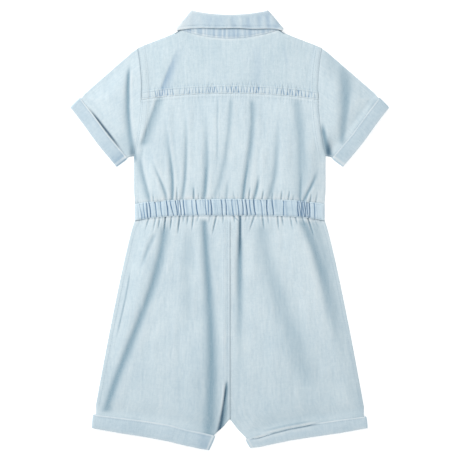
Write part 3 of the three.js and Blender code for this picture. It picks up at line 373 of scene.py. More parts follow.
def turn_cover(x, y):
    """1 within a turned-up hem or cuff, which lifts the layers inside it."""
    on_sleeve = (y > ARMPIT_Y) | ((y > SLEEVE_INNER[2][1] - 10) & (np.abs(x) > CHEST_HALF))
    in_hem = 1 - smooth(above_hem(x, y), 2.5, 16)
    in_cuff = np.where(on_sleeve, 1 - smooth(inside_cuff(x, y), 2, 11), 0)
    return np.where(y < CROTCH_Y + 60, in_hem, in_cuff)


def front_height(x, y):
    wrinkles = 0.25 * waves(x, y, 16, 60, 11) + 0.12 * waves(x, y, 6, 22, 12)
    free = (1 - turn_cover(x, y)) * (1 - collar_cover(x, y))
    return (FRONT_MID + 1.4 * collar_cover(x, y) + TURN_LIFT * turn_cover(x, y)
            + np.maximum(wrinkles + 0.15, -0.05) * free)


def left_front_height(x, y):
    return lerp(front_height(x, y), PLACKET_MID, smooth(x, -30, -9.5))


def right_front_height(x, y):
    return lerp(front_height(x, y), LAP_MID, 1 - smooth(x, 11, 34))


def fastening_cover(x, y):
    along = smooth(y, WAIST_BOTTOM_Y - 6, WAIST_TOP_Y) * (1 - smooth(y, 233, 262))
    return (1 - smooth(np.abs(x), 12, 38)) * along


def settled_height(x, y):
    clear = BACK_MID + TURN_LIFT * turn_cover(x, y) + (STAND_HIGH - BACK_MID) * neck_cover(x, y)
    return lerp(clear, CENTRE_MID + 0.1, fastening_cover(x, y))


def fade_in(distance, length):
    return smooth(distance, 0, length) if length > 0 else smooth(distance, -15, -3)


def beside_crease(x, y, crease):
    """Distance across a crease in widths, its width and strength there, and its depth and ridge."""
    top, bottom, x0, x1, x2, x3, wide_0, wide_1, depth, rise, end, skew, ridge = crease
    share = (top - y) / (top - bottom)
    middle = through_four((x0, x1, x2, x3), np.clip(share, 0, 1.05))
    width = lerp(wide_0, wide_1, np.clip(share, 0, 1))
    strength = fade_in(top - y, rise) * fade_in(y - bottom, end)
    offset = (x - middle) / width
    return offset / (1 + skew * np.tanh(offset)), width, strength, depth, ridge


def crease_relief(x, y):
    """What the creases leave of the puff, 1 between them, and the height of the ridges beside them."""
    left = np.ones_like(x)
    raised = np.zeros_like(x)
    for crease in CREASES:
        offset, width, strength, depth, ridge = beside_crease(x, y, crease)
        left = left * (1 - CREASE_RELIEF * np.minimum(depth, 1) * strength * bell(offset, 1.5))
        raised = raised + 0.6 * abs(ridge) * strength * bell(offset - 2.6 * np.sign(ridge), 1.3)
    return left, raised


def crease_shade(x, y):
    """Painted shade in the creases, partly the unfaded blue that wash and wear reach less, and the painted highlight on
    the ridges beside them.
    """
    shade = np.zeros_like(x)
    pale = np.zeros_like(x)
    for crease in CREASES:
        offset, width, strength, depth, ridge = beside_crease(x, y, crease)
        shade = np.maximum(shade, depth * strength * bell(offset - 0.15, 1.5))
        pale = np.maximum(pale, abs(ridge) * strength * bell(offset - 2.6 * np.sign(ridge), 1.2))
    return shade, pale


def gather_relief(x, y):
    below = waist_bottom_y(x) - y
    above = y - waist_top_y(x)
    left = np.ones_like(x)
    for gathers, away in ((GATHERS_BELOW, below), (GATHERS_ABOVE, above)):
        for near, far, length, depth in gathers:
            share = np.clip(away / length, 0, 1)
            strength = depth * (1 - share ** 2) * smooth(away, -4, 0)
            offset = x - lerp(near, far, share)
            left = left * (1 - 0.7 * strength * bell(offset, lerp(1.3, 0.8, share) * GATHER_WIDTH))
            left = left * (1 + 0.15 * strength * bell(np.abs(offset) - 2 * GATHER_WIDTH, GATHER_WIDTH))
    return left


def pucker_depth(x, y):
    """How far in the waistband's puckers go at a place: 0 between them, about 1 in the deepest."""
    top = waist_top_y(x)
    bottom = waist_bottom_y(x)
    share = np.clip((top - y) / (top - bottom), 0, 1)
    depth = np.zeros_like(x)
    for at_top, at_bottom, most in PUCKERS:
        lean = 0.4 * np.sin(5 * share + at_top)
        depth = np.maximum(depth, most * bell(x - lerp(at_top, at_bottom, share) - lean, PUCKER_WIDTH))
    return depth * smooth(y, bottom - 4, bottom) * (1 - smooth(y, top, top + 4))


def pucker_crowd(x):
    """How many puckers of the waistband stand close together at a place."""
    return sum(most * bell(x - (at_top + at_bottom) / 2, 3.0) for at_top, at_bottom, most in PUCKERS)


def loft(x, y):
    """Height that air under the back adds to it between its creases."""
    edge = smooth(distance_to_line(OUTLINE, plan(np.abs(x), y)), 0.5, 30)
    sleeve = np.where(y > 60, smooth(np.abs(x), 118, 150), 0)
    full = lerp(look_up(FULLNESS, y), SLEEVE_FULLNESS, sleeve)
    free = (1 - turn_cover(x, y)) * (1 - 0.5 * fastening_cover(x, y)) * (1 - 0.8 * neck_cover(x, y))
    uneven = 1 + 0.16 * waves(x, y, 17, 70, 1) + 0.09 * waves(x, y, 7, 30, 2)
    return PUFF * edge * free * full * uneven


def puff(x, y):
    left, raised = crease_relief(x, y)
    height = loft(x, y)
    return height * left * gather_relief(x, y) + raised * np.minimum(height / 3, 1)


def crinkle(x, y):
    """Fine wrinkles that washing leaves."""
    return 0.13 * waves(x, y, 3.6, 13, 3) + 0.08 * waves(x, y, 2.2, 6, 4)


def back_height(x, y):
    return settled_height(x, y) + puff(x, y) + crinkle(x, y) * (1 - 0.6 * turn_cover(x, y))


def seam_pucker(x):
    depth = np.zeros_like(x)
    for place, most in SEAM_PUCKERS:
        depth = np.maximum(depth, most * bell(x - place, SEAM_PUCKER_WIDTH))
    return depth


def yoke_band(x, y):
    """1 on the doubled cloth along the yoke's seam."""
    above = y - yoke_seam_y(x)
    return smooth(above, -1, 0.8) * (1 - smooth(above, SEAM_ROWS[1] + 0.8, SEAM_ROWS[1] + 3.2))


def yoke_height(x, y):
    above = y - yoke_seam_y(x)
    band = yoke_band(x, y)
    rows = bell(above - SEAM_ROWS[0], 0.9) + bell(above - SEAM_ROWS[1], 0.9)
    lean = x + 0.25 * (above - 5) * np.sin(x)
    reach = 1 - 0.75 * smooth(above, SEAM_ROWS[1], SEAM_ROWS[1] + 9)
    reach = reach * (1 - smooth(above, SEAM_ROWS[1] + 6, SEAM_ROWS[1] + 14))
    return back_height(x, y) + 1.0 * band - 0.5 * rows - 1.1 * seam_pucker(lean) * reach


def bodice_height(x, y):
    below = yoke_seam_y(x) - y
    drawn = bell(below, 9) * smooth(below, -2, 1)
    roll = 0.7 * bell(below - 2.2, 1.8)
    tuck = 0.9 * (1 - smooth(below, -1.5, 1.6))
    above = y - waist_top_y(x)
    sink = 1.1 * (1 - smooth(above, -1.0, 2.6))
    return back_height(x, y) - 0.45 * seam_pucker(x + 0.1 * below) * drawn + roll - tuck - sink


def waistband_height(x, y):
    top = waist_top_y(x)
    bottom = waist_bottom_y(x)
    edges = bell(y - top + 1.6, 0.8) + bell(y - bottom - 1.6, 0.8)
    bulge = 1.2 * (1 - (2 * (y - bottom) / (top - bottom) - 1) ** 4)
    lifted = settled_height(x, y) + loft(x, y) * 0.45 + 1.3 + np.maximum(bulge, 0)
    end = smooth(WAIST_HALF - np.abs(x), 0, 8)
    return lifted - (PUCKER_DEPTH * pucker_depth(x, y) + 0.35 * edges) * end + crinkle(x, y)


def leg_height(x, y):
    below = waist_bottom_y(x) - y
    sink = 1.3 * (1 - smooth(below, -1.0, 3.0))
    seam_ridge = 0.9 * bell(x + 6.8, 5.0) * smooth(-y, -16, 30) * (1 - smooth(-y, 225, 262))
    return back_height(x, y) - sink + seam_ridge - 0.5 * bell(x + 5, 0.8) * smooth(-y, -16, 0)


# Meshes
def patch(edges, s, q):
    """A place between four edges: first and last run across the piece, start and end along it."""
    first, last, start, end = edges
    none = np.zeros(1)
    one = np.ones(1)
    across = mix(first(s), last(s), q)
    along = mix(start(q), end(q), s)
    corners = mix(mix(first(none), first(one), s), mix(last(none), last(one), s), q)
    return across + along - corners


def grid(across, along):
    return np.meshgrid(across, along)


def with_height(points, z):
    return np.concatenate([points, np.asarray(z, float)[..., None]], -1)


def normals_of(points, looped):
    if looped:
        across = np.roll(points, -1, 1) - np.roll(points, 1, 1)
    else:
        across = np.gradient(points, axis=1)
    along = np.gradient(points, axis=0)
    return unit(np.cross(along, across))


def make_mesh(name, vertices, faces, material, uv=None, marks=None):
    mesh = bpy.data.meshes.new(name)
    mesh.from_pydata((np.asarray(vertices) * MM + (0, BELOW_CENTRE * MM, 0)).tolist(), [], faces)
    mesh.polygons.foreach_set("use_smooth", np.ones(len(mesh.polygons), bool))
    if uv is not None:
        corners = np.empty(len(mesh.loops), int)
        mesh.loops.foreach_get("vertex_index", corners)
        mesh.uv_layers.new(name="cloth").data.foreach_set("uv", (uv[corners] * MM).ravel())
    for mark, values in (marks or {}).items():
        mesh.attributes.new(mark, "FLOAT", "POINT").data.foreach_set("value", values)
    mesh.materials.append(material)
    mesh.update()
    piece = bpy.data.objects.new(name, mesh)
    bpy.context.scene.collection.objects.link(piece)
    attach(piece, "root")
    return piece


def shell(name, points, uv, material, wall=WALL, looped=False, marks=None):
    """A closed thin wall round a grid of middle points."""
    rows, count = points.shape[:2]
    normals = normals_of(points, looped)
    vertices = np.concatenate([(points + side * normals * wall / 2).reshape(-1, 3) for side in (1, -1)])
    vertices[:, 2] = np.maximum(vertices[:, 2], ON_TABLE)
    steps = count if looped else count - 1
    a = np.arange(rows - 1)[:, None] * count + np.arange(steps)[None, :]
    b = np.arange(rows - 1)[:, None] * count + (np.arange(steps)[None, :] + 1) % count
    under = rows * count
    top = np.stack([a, a + count, b + count, b], -1).reshape(-1, 4)
    faces = [top, top[:, ::-1] + under]
    i = np.arange(steps)
    j = (i + 1) % count
    low = (rows - 1) * count
    faces.append(np.stack([i, j, under + j, under + i], -1))
    faces.append(np.stack([low + j, low + i, under + low + i, under + low + j], -1))
    if not looped:
        c = np.arange(rows - 1) * count
        faces.append(np.stack([c + count, c, under + c, under + c + count], -1))
        d = c + count - 1
        faces.append(np.stack([d, d + count, under + d + count, under + d], -1))
    flat_uv = np.stack([np.broadcast_to(u, points.shape[:2]) for u in uv], -1).reshape(-1, 2)
    flat_marks = {}
    for mark, values in (marks or {}).items():
        values = np.broadcast_to(values, points.shape[:2]).ravel()
        flat_marks[mark] = np.concatenate([values, values])
    return make_mesh(name, vertices, np.concatenate(faces).tolist(), material,
                     np.concatenate([flat_uv, flat_uv]), flat_marks)


EDGE_ROUND = 3.6
EDGE_LANE = [0, 0.12, 0.4, 0.9, 1.6, 2.5, 3.6]


def steps(size, pitch, turn_start=False, turn_end=False, fine=()):
    """Shares of a length in even steps, closer where the cloth turns down at an end or where fine."""
    at = list(np.linspace(0, size, max(2, round(size / pitch) + 1)))
    if turn_start:
        at = EDGE_LANE + [v for v in at if v > EDGE_LANE[-1] + 0.4 * pitch]
    if turn_end:
        at = [v for v in at if v < size - EDGE_LANE[-1] - 0.4 * pitch] + [size - v for v in EDGE_LANE[::-1]]
    for low, high, finer in fine:
        at = [v for v in at if not low <= v <= high] + list(np.linspace(low, high, round((high - low) / finer) + 1))
    return np.array(sorted(at)) / size


def rim(distance):
    """Share of the height that is left at a distance from an edge where the cloth turns down."""
    inside = np.clip(distance / EDGE_ROUND, 0, 1)
    return np.sqrt(1 - (1 - inside) ** 2)


def blurred(z, columns, rows):
    """Each height averaged with those around it."""
    for axis, reach in ((1, columns), (0, rows)):
        reach = max(int(reach), 1)
        padding = [(0, 0), (0, 0)]
        padding[axis] = (reach + 1, reach)
        total = np.cumsum(np.pad(z, padding, mode="edge"), axis)
        ahead = np.take(total, range(2 * reach + 1, total.shape[axis]), axis)
        behind = np.take(total, range(0, total.shape[axis] - 2 * reach - 1), axis)
        z = (ahead - behind) / (2 * reach + 1)
    return z


def wear_and_shade_marks(z, pitch_across, pitch_along, reach=3.5):
    """Pale on the cloth's high places, partly wear and partly painted highlight, and painted shade with unfaded blue in
    its low places.
    """
    proud = z - blurred(z, reach / pitch_across, reach / pitch_along)
    return {"wear_and_highlight": np.clip(proud / 1.2, 0, 0.7), "unfaded_and_shade": np.clip(-proud / 1.4, 0, 1)}


PLEAT = [(-21, 15.0), (20, 14.5), (50, 14)]
WEDGE = [(212, -4.2), (241, -8.5), (270, -12.5), (287, -16.4)]


def folded_in(x, y):
    """Marks of the back where it folds in or is seamed: painted shadow in the folds and seams, partly cloth that never
    faded, painted shade beside them and in the creases and gathers, and painted highlight on ridges and near the
    waistband.
    """
    # painted shadow, partly unfaded blue, along the pleat's fold beside the seat seam
    pleat = x - look_up(PLEAT, -y)
    top = smooth(-y, -26, -14)
    deep = bell(pleat, 1.3) * top * (1 - smooth(-y, 16, 46))
    unfaded_and_shade = np.zeros_like(x)
    # painted shadow along the fold by the crotch, and painted shade spreading to its right
    wedge = x - look_up(WEDGE, -y)
    low = smooth(-y, 210, 235)
    deep = deep + 1.3 * bell(wedge - 0.6, lerp(1.5, 2.6, smooth(-y, 245, 275))) * low
    unfaded_and_shade = unfaded_and_shade + np.exp(-np.maximum(wedge, 0) / lerp(3.2, 6, smooth(-y, 235, 275))) * (wedge > 0) * low
    # painted shadow in the seat seam below the waistband
    deep = deep + 0.4 * bell(x, 0.6) * smooth(-y, -16, -8)
    # painted shadow in the armhole seams, much stronger on the left
    seam = bell(np.abs(x) - armhole_x(y), 0.65)
    deep = deep + seam * np.where(x < 0, 0.65 * smooth(y, 178, 192), 0.1 * smooth(y, 140, 160))
    # painted shadow in the gathers next to the waistband
    near_band = bell((waist_bottom_y(x) - y) / 7, 1) + bell((y - waist_top_y(x)) / 5, 1)
    deep = deep + 0.9 * np.clip(1 - gather_relief(x, y) - 0.2, 0, 1) * near_band
    shade, pale = crease_shade(x, y)
    # painted highlight on the bodice's right edge near the waist and on the cloth just above and below the waistband,
    # against their shade
    side = smooth(x, 119, 129) * smooth(y, 38, 50) * (1 - smooth(y, 88, 112))
    beside_band = bell((y - waist_top_y(x) - 2) / 4, 1) + bell((waist_bottom_y(x) - y - 2) / 3, 1)
    # painted shade, partly unfaded blue, in the gathers and creases
    unfaded_and_shade = unfaded_and_shade + 1.15 * (1 - np.minimum(gather_relief(x, y), 1)) + CREASE_SHADE * shade
    # darker towards the hems
    unfaded_and_shade = unfaded_and_shade + 0.1 * smooth(-y, 110, 240)
    # painted shade and painted highlight of fine ruffles along the waistband's seams
    ruffle = waves(x + 0.2 * y, y * 0.1, 1.9, 4, 71)
    at_seam = bell(waist_bottom_y(x) - y - 1, 2.8) + bell(y - waist_top_y(x) - 1, 3.2)
    unfaded_and_shade = unfaded_and_shade + 0.9 * np.clip(ruffle - 0.1, 0, 1) * at_seam
    pale = pale + np.clip(-ruffle - 0.1, 0, 1) * at_seam
    return {"deep": deep, "unfaded_and_shade": unfaded_and_shade, "wear_and_highlight": (0.5 * pale + 0.4 * beside_band + 0.3 * side) * (1 - np.minimum(shade, 1))}


def front_painted_creases(x, y):
    """Marks of the hidden front, which lies flat: painted shade and painted highlight of creases like the back's, seen
    from the other side.
    """
    shade, pale = crease_shade(7 - x, y)
    gathers = 1 - np.minimum(gather_relief(3 - x, y), 1)
    return {"unfaded_and_shade": 0.5 * shade + 0.9 * gathers, "wear_and_highlight": 0.4 * pale}


def plan_area(points):
    """Area of a grid of places seen from above."""
    diagonal = points[1:, 1:, :2] - points[:-1, :-1, :2]
    other = points[1:, :-1, :2] - points[:-1, 1:, :2]
    return 0.5 * np.abs(diagonal[..., 0] * other[..., 1] - diagonal[..., 1] * other[..., 0]).sum()


def panel(name, edges, across, along, height, material, turned=None, wall=WALL, marks_at=None):
    s, q = grid(across, along)
    points = patch(edges, s, q)
    x, y = points[..., 0], points[..., 1]
    width = np.linalg.norm(edges[2](q) - edges[3](q), axis=-1)
    length = np.linalg.norm(edges[0](s) - edges[1](s), axis=-1)
    z = height(x, y)
    marks = wear_and_shade_marks(z, width.mean() / len(across), length.mean() / len(along))
    if marks_at is not None:
        for mark, values in marks_at(x, y).items():
            marks[mark] = np.clip(marks.get(mark, 0) + values, 0, 1)
    if turned is not None:
        left = turned(x, y, s * width, (1 - s) * width, q * length)
        floor = front_height(x, y) + 0.5
        z = floor + (z - floor) * left
    made = shell(name, with_height(points, z), (s * width.mean(), q * length.mean()), material, wall, marks=marks)
    return made, plan_area(points)


def declare(nodes, area, fullness):
    """Hides the solids that a cloth piece stands for; the size that it was cut to is worked out and not kept."""
    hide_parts(*nodes)
    area * fullness * MM * MM


# Shader nodes
class Value:
    """A shader socket that takes part in Python expressions."""

    def __init__(self, finish, socket):
        self.finish = finish
        self.socket = socket

    def math(self, operation, *others, swap=False):
        operands = [self, *others]
        if swap:
            operands.reverse()
        made = self.finish.node("Math", {"operation": operation}, dict(enumerate(operands)))
        return Value(self.finish, made.outputs[0])

    def __add__(self, other):
        return self.math("ADD", other)

    def __radd__(self, other):
        return self.math("ADD", other, swap=True)

    def __sub__(self, other):
        return self.math("SUBTRACT", other)

    def __rsub__(self, other):
        return self.math("SUBTRACT", other, swap=True)

    def __mul__(self, other):
        return self.math("MULTIPLY", other)

    def __rmul__(self, other):
        return self.math("MULTIPLY", other, swap=True)

    def clamped(self):
        return self.math("MAXIMUM", 0.0).math("MINIMUM", 1.0)

    def sine(self):
        return self.math("SINE")


class Finish:
    """A material and the nodes that it is made of."""

    def __init__(self, name):
        self.material = bpy.data.materials.new(name)
        self.material.use_nodes = True
        self.material.node_tree.nodes.clear()

    def node(self, kind, settings=None, inputs=None):
        made = self.material.node_tree.nodes.new("ShaderNode" + kind)
        for setting, value in (settings or {}).items():
            setattr(made, setting, value)
        for name, value in (inputs or {}).items():
            if isinstance(value, Value):
                self.material.node_tree.links.new(value.socket, made.inputs[name])
            else:
                made.inputs[name].default_value = value
        return made

    def output(self, made, name=0):
        return Value(self, made.outputs[name])

    def mixed(self, a, b, factor):
        made = self.node("Mix", {"data_type": "RGBA"}, {0: factor, 6: a, 7: b})
        return self.output(made, 2)

    def mark(self, name):
        return self.output(self.node("Attribute", {"attribute_name": name}), "Fac")

    def scaled(self, vector, scale):
        return self.output(self.node("Mapping", None, {"Vector": vector, "Scale": scale}))

    def noise(self, vector, scale, detail=2.0):
        """Noise about zero over a vector scaled by three numbers, each in cells per metre."""
        made = self.node("TexNoise", None, {"Vector": self.scaled(vector, scale), "Scale": 1.0, "Detail": detail})
        return self.output(made, "Fac") - 0.5

    def surface(self, colour, roughness, normal=None, constants=None):
        inputs = {"Base Color": colour, "Roughness": roughness, **(constants or {})}
        if normal is not None:
            inputs["Normal"] = normal
        shader = self.node("BsdfPrincipled", None, inputs)
        self.node("OutputMaterial", None, {"Surface": self.output(shader)})
        return self.material


BRIGHTNESS = 1.2


def seen(red, green, blue):
    """The colour of a surface that looks like this from 0 to 255 under the scene's light."""
    shown = np.array([red, green, blue]) / 255
    light = np.where(shown <= 0.04045, shown / 12.92, ((shown + 0.055) / 1.055) ** 2.4)
    return (*(light / BRIGHTNESS).tolist(), 1.0)


def chambray(name, light, dark, wear_and_highlight, unfaded_and_shade, deep=(74, 106, 128)):
    """Washed chambray: pale threads across blue ones, with slubs, pale marks that are partly wear and partly painted
    highlight, painted shade with unfaded blue in low places, and darker painted shadow, partly unfaded, in the darkest
    folds.
    """
    cloth = Finish(name)
    threads = cloth.output(cloth.node("UVMap", {"uv_map": "cloth"}))
    place = cloth.output(cloth.node("TexCoord"), "Object")
    slub = cloth.noise(threads, (480, 30, 1), 3)
    fine_slub = cloth.noise(threads, (1300, 110, 1))
    cross_slub = cloth.noise(threads, (60, 900, 1))
    speckle = cloth.noise(threads, (800, 800, 1), 2)
    mottle = cloth.noise(threads, (300, 220, 1), 3)
    wash = cloth.noise(place, (12, 12, 12), 3)
    patches = cloth.noise(place, (45, 45, 45), 2)
    shade = (0.5 + 0.42 * slub + 0.28 * fine_slub + 0.25 * cross_slub + 0.5 * speckle + 0.42 * mottle
             + 0.55 * wash + 0.35 * patches)
    colour = cloth.mixed(seen(*dark), seen(*light), shade.clamped())
    # painted shade: low places and creases turn a bluer, darker colour, partly unfaded cloth and partly painted shade
    colour = cloth.mixed(colour, seen(*unfaded_and_shade), (cloth.mark("unfaded_and_shade") * (0.9 + speckle)).clamped())
    # pale: partly real wear at seams and folded edges, partly painted highlight on ridges, rims and lit sides
    rubbed_and_lit = (cloth.mark("wear_and_highlight") * (0.75 + 1.2 * patches + 0.8 * fine_slub)).clamped()
    colour = cloth.mixed(colour, seen(*wear_and_highlight), rubbed_and_lit)
    # painted shadow: near-navy in slits, seams, folds and under edges, partly unfaded cloth
    colour = cloth.mixed(colour, seen(*deep), (cloth.mark("deep") * (0.95 + 0.8 * speckle)).clamped())
    thread_pitch = 0.00055
    place_u = cloth.node("SeparateXYZ", None, {0: threads})
    warp = (cloth.output(place_u, 0) * (2 * math.pi / thread_pitch)).sine()
    weft = (cloth.output(place_u, 1) * (2 * math.pi / thread_pitch)).sine()
    relief = warp * weft * 0.3 + slub * 0.6 + fine_slub * 0.6 + speckle * 0.5 + cross_slub * 0.4
    bump = cloth.node("Bump", None, {"Strength": 0.55, "Distance": 0.00022, "Height": relief})
    roughness = (0.86 + 0.16 * speckle + 0.1 * wash).clamped()
    return cloth.surface(colour, roughness, cloth.output(bump), {
        "Specular IOR Level": 0.18, "Sheen Weight": 0.06, "Sheen Roughness": 0.45,
        "Sheen Tint": seen(228, 238, 243)})


def thread_finish():
    thread = Finish("sewing_thread")
    place = thread.output(thread.node("TexCoord"), "Object")
    twist = thread.noise(place, (2600, 2600, 2600), 1)
    colour = thread.mixed(seen(158, 186, 206), seen(214, 228, 236), (0.5 + 1.4 * twist).clamped())
    bump = thread.node("Bump", None, {"Strength": 0.4, "Distance": 0.0001, "Height": twist})
    return thread.surface(colour, (0.7 + 0.3 * twist).clamped(), thread.output(bump), {"Specular IOR Level": 0.3})


def button_finish():
    horn = Finish("button_horn")
    place = horn.output(horn.node("TexCoord"), "Object")
    cloud = horn.noise(place, (380, 380, 380), 3)
    colour = horn.mixed(seen(214, 209, 196), seen(240, 238, 230), (0.5 + 1.6 * cloud).clamped())
    bump = horn.node("Bump", None, {"Strength": 0.2, "Distance": 0.0002, "Height": cloud})
    return horn.surface(colour, (0.34 + 0.25 * cloud).clamped(), horn.output(bump), {"Coat Weight": 0.15})


# Colours of the marks: pale for wear and painted highlight, blue for painted shade with unfaded cloth
PALE_WEAR_AND_HIGHLIGHT = (234, 243, 247)
BLUE_SHADE_AND_UNFADED = (140, 171, 188)
BODY_CLOTH = chambray("chambray_body", (239, 251, 255), (190, 213, 226), PALE_WEAR_AND_HIGHLIGHT, BLUE_SHADE_AND_UNFADED)
FRONT_CLOTH = chambray("chambray_front", (226, 240, 248), (172, 196, 210), PALE_WEAR_AND_HIGHLIGHT, BLUE_SHADE_AND_UNFADED)
WAIST_CLOTH = chambray("chambray_waist", (224, 242, 252), (177, 203, 220), (229, 245, 253), (92, 139, 180))
YOKE_CLOTH = chambray("chambray_yoke", (235, 248, 253), (184, 208, 220), PALE_WEAR_AND_HIGHLIGHT, (136, 169, 199))
COLLAR_CLOTH = chambray("chambray_collar", (224, 240, 248), (174, 198, 214), PALE_WEAR_AND_HIGHLIGHT, (142, 172, 204))
TURNED_CLOTH = chambray("chambray_turned", (224, 240, 248), (174, 199, 214), PALE_WEAR_AND_HIGHLIGHT, (142, 174, 198))
THREAD = thread_finish()
BUTTON = button_finish()


# Sewing
STITCH_PITCH = 2.7
STITCH_LENGTH = 1.9
STITCH_RADIUS = 0.22


def stitches(name, rows):
    """Short stitches along rows of points that lie on the cloth, each row with its outward direction."""
    sides = 5
    rings = ((-0.5, 0.45, -0.9), (-0.28, 1.0, 0.4), (0.28, 1.0, 0.4), (0.5, 0.45, -0.9))
    vertices = []
    faces = []
    for points, outward in rows:
        lengths = np.concatenate([[0], np.cumsum(np.linalg.norm(np.diff(points, axis=0), axis=1))])
        count = int(lengths[-1] / STITCH_PITCH)
        if count < 1:
            continue
        middles = (np.arange(count) + 0.5) * lengths[-1] / count
        at = [np.stack([np.interp(middles + d, lengths, points[:, k]) for k in range(3)], -1)
              for d in (-STITCH_LENGTH / 2, 0, STITCH_LENGTH / 2)]
        ahead = unit(at[2] - at[0])
        up = np.broadcast_to(outward, ahead.shape) if np.ndim(outward) == 1 else np.stack(
            [np.interp(middles, lengths, outward[:, k]) for k in range(3)], -1)
        side = unit(np.cross(ahead, up))
        up = np.cross(side, ahead)
        first = len(vertices) * 0 + sum(len(v) for v in vertices)
        ring_points = []
        for share, radius, proud in rings:
            centre = at[1] + ahead * share * STITCH_LENGTH + up * proud * STITCH_RADIUS
            for k in range(sides):
                angle = 2 * math.pi * k / sides
                ring_points.append(centre + STITCH_RADIUS * radius * (math.cos(angle) * side + math.sin(angle) * up))
        block = np.stack(ring_points, 1).reshape(-1, 3)
        block[:, 2] = np.maximum(block[:, 2], ON_TABLE)
        vertices.append(block)
        per_stitch = len(rings) * sides
        for n in range(count):
            base = first + n * per_stitch
            for ring in range(len(rings) - 1):
                for k in range(sides):
                    a = base + ring * sides + k
                    b = base + ring * sides + (k + 1) % sides
                    faces.append((a, b, b + sides, a + sides))
            faces.append(tuple(base + k for k in reversed(range(sides))))
            faces.append(tuple(base + (len(rings) - 1) * sides + k for k in range(sides)))
    return make_mesh(name, np.concatenate(vertices), faces, THREAD)


UP = np.array([0.0, 0.0, 1.0])
DOWN = -UP


def row_on(height, x, y, wall=WALL, up=True):
    """A row of stitches at places in plan, on the upper or lower side of a layer."""
    x, y = np.broadcast_arrays(np.asarray(x, float), np.asarray(y, float))
    side = 1 if up else -1
    return with_height(plan(x, y), height(x, y) + side * (wall / 2 + 0.05)), side * UP


# Back yoke
def yoke_top(s):
    x = lerp(-SHOULDER[0], SHOULDER[0], s)
    shoulder = look_up(SHOULDER_LINE, np.abs(x)) - 0.3
    return plan(x, np.where(np.abs(x) < NECK_HALF, back_neck_y(x) + 2.2 * (1 - (x / NECK_HALF) ** 2), shoulder))


def yoke_foot(s):
    x = lerp(-1, 1, s) * armhole_x(yoke_seam_y(125.2))
    return plan(x, yoke_seam_y(x))


def yoke_side(sign):
    def edge(q):
        y = lerp(SHOULDER[1] - 0.3, yoke_seam_y(125.2), q)
        return plan(sign * armhole_x(y), y)
    return edge


ARMHOLE_ROWS = (1.8, 8.0)


def armhole_felling(x, y):
    """The doubled cloth beside the armhole: its relief on the body."""
    inside = armhole_x(y) - np.abs(x)
    doubled = 0.7 * smooth(inside, -0.5, 1.2) * (1 - smooth(inside, ARMHOLE_ROWS[1] + 0.6, ARMHOLE_ROWS[1] + 2.6))
    rows = 0.3 * (bell(inside - ARMHOLE_ROWS[0], 0.8) + bell(inside - ARMHOLE_ROWS[1], 0.8))
    edge = 0.35 * (1 - smooth(inside, 0, 1.1))
    return np.where(y > ARMPIT_Y - 4, doubled - rows - edge, 0) * smooth(y, ARMPIT_Y - 4, ARMPIT_Y + 8)


def armhole_line(y, inset):
    return armhole_x(y) - inset


def make_yoke():
    def height(x, y):
        above = y - yoke_seam_y(x)
        edge = 0.6 * (1 - smooth(above, 0, 1.0))
        under_stand = 1.2 * smooth(y - back_neck_y(x), -2.6, 0) * (1 - smooth(np.abs(x), NECK_HALF - 2, NECK_HALF + 3))
        return yoke_height(x, y) + armhole_felling(x, y) - edge - under_stand

    def marks_at(x, y):
        above = y - yoke_seam_y(x)
        lean = x + 0.25 * (above - 5) * np.sin(x)
        in_band = smooth(above, 0.8, 2) * (1 - smooth(above, 8.5, 11))
        neck = back_neck_y(np.clip(x, -NECK_HALF, NECK_HALF)) - y
        marks = folded_in(x, y)
        # painted shadow under the ends of the collar's fall
        under_ends = bell(distance_to_line([(68, 285.6), (77, 280.2)], plan(np.abs(x), y)), 1.5)
        marks["deep"] = marks["deep"] + 1.5 * under_ends
        # painted shade, partly unfaded blue, in the seam's pucker valleys
        marks["unfaded_and_shade"] = marks["unfaded_and_shade"] + 1.15 * seam_pucker(lean) ** 1.6 * in_band
        marks["wear_and_highlight"] = (0.9 * bell(above - 0.3, 0.8) + 0.3 * (1 - seam_pucker(lean)) * in_band
                         + bell(neck - 2, 1.3) * (0.45 + 0.5 * waves(x, 0 * x, 3, 9, 61)) * (np.abs(x) < NECK_HALF + 2))
        return marks

    def turned(x, y, from_start, from_end, from_top):
        shoulder = smooth(np.abs(x), 74, 80)
        return lerp(1, rim(from_top), shoulder)

    across = steps(2 * SHOULDER[0], 0.62)
    along = steps(85, 1.7, turn_start=True, fine=((67, 85, 0.8),))
    edges = (yoke_top, yoke_foot, yoke_side(-1), yoke_side(1))
    piece, area = panel("yoke_cloth", edges, across, along, height, YOKE_CLOTH, turned, marks_at=marks_at)
    x = np.linspace(-123, 123, 500)
    rows = [row_on(height, x, yoke_seam_y(x) + d) for d in SEAM_ROWS]
    y = np.linspace(187, 254, 120)
    rows += [row_on(height, sign * armhole_line(y, d), y) for sign in (-1, 1) for d in ARMHOLE_ROWS]
    sewing = stitches("yoke_stitches", rows)
    declare(["back_yoke"], area, 1.0)


# Back bodice
def bodice_side(sign):
    def edge(q):
        y = lerp(yoke_seam_y(125.2) + 1.2, waist_top_y(WAIST_HALF) - 1.2, q)
        return plan(sign * (side_x(y) - 0.3), y)
    return edge


def bodice_end(q_end, line, shift):
    def edge(s):
        corner = bodice_side(1)(np.array([q_end]))[0]
        x = lerp(-1, 1, s) * corner[0]
        return plan(x, line(x) - line(corner[0]) + corner[1] + 0 * shift)
    return edge


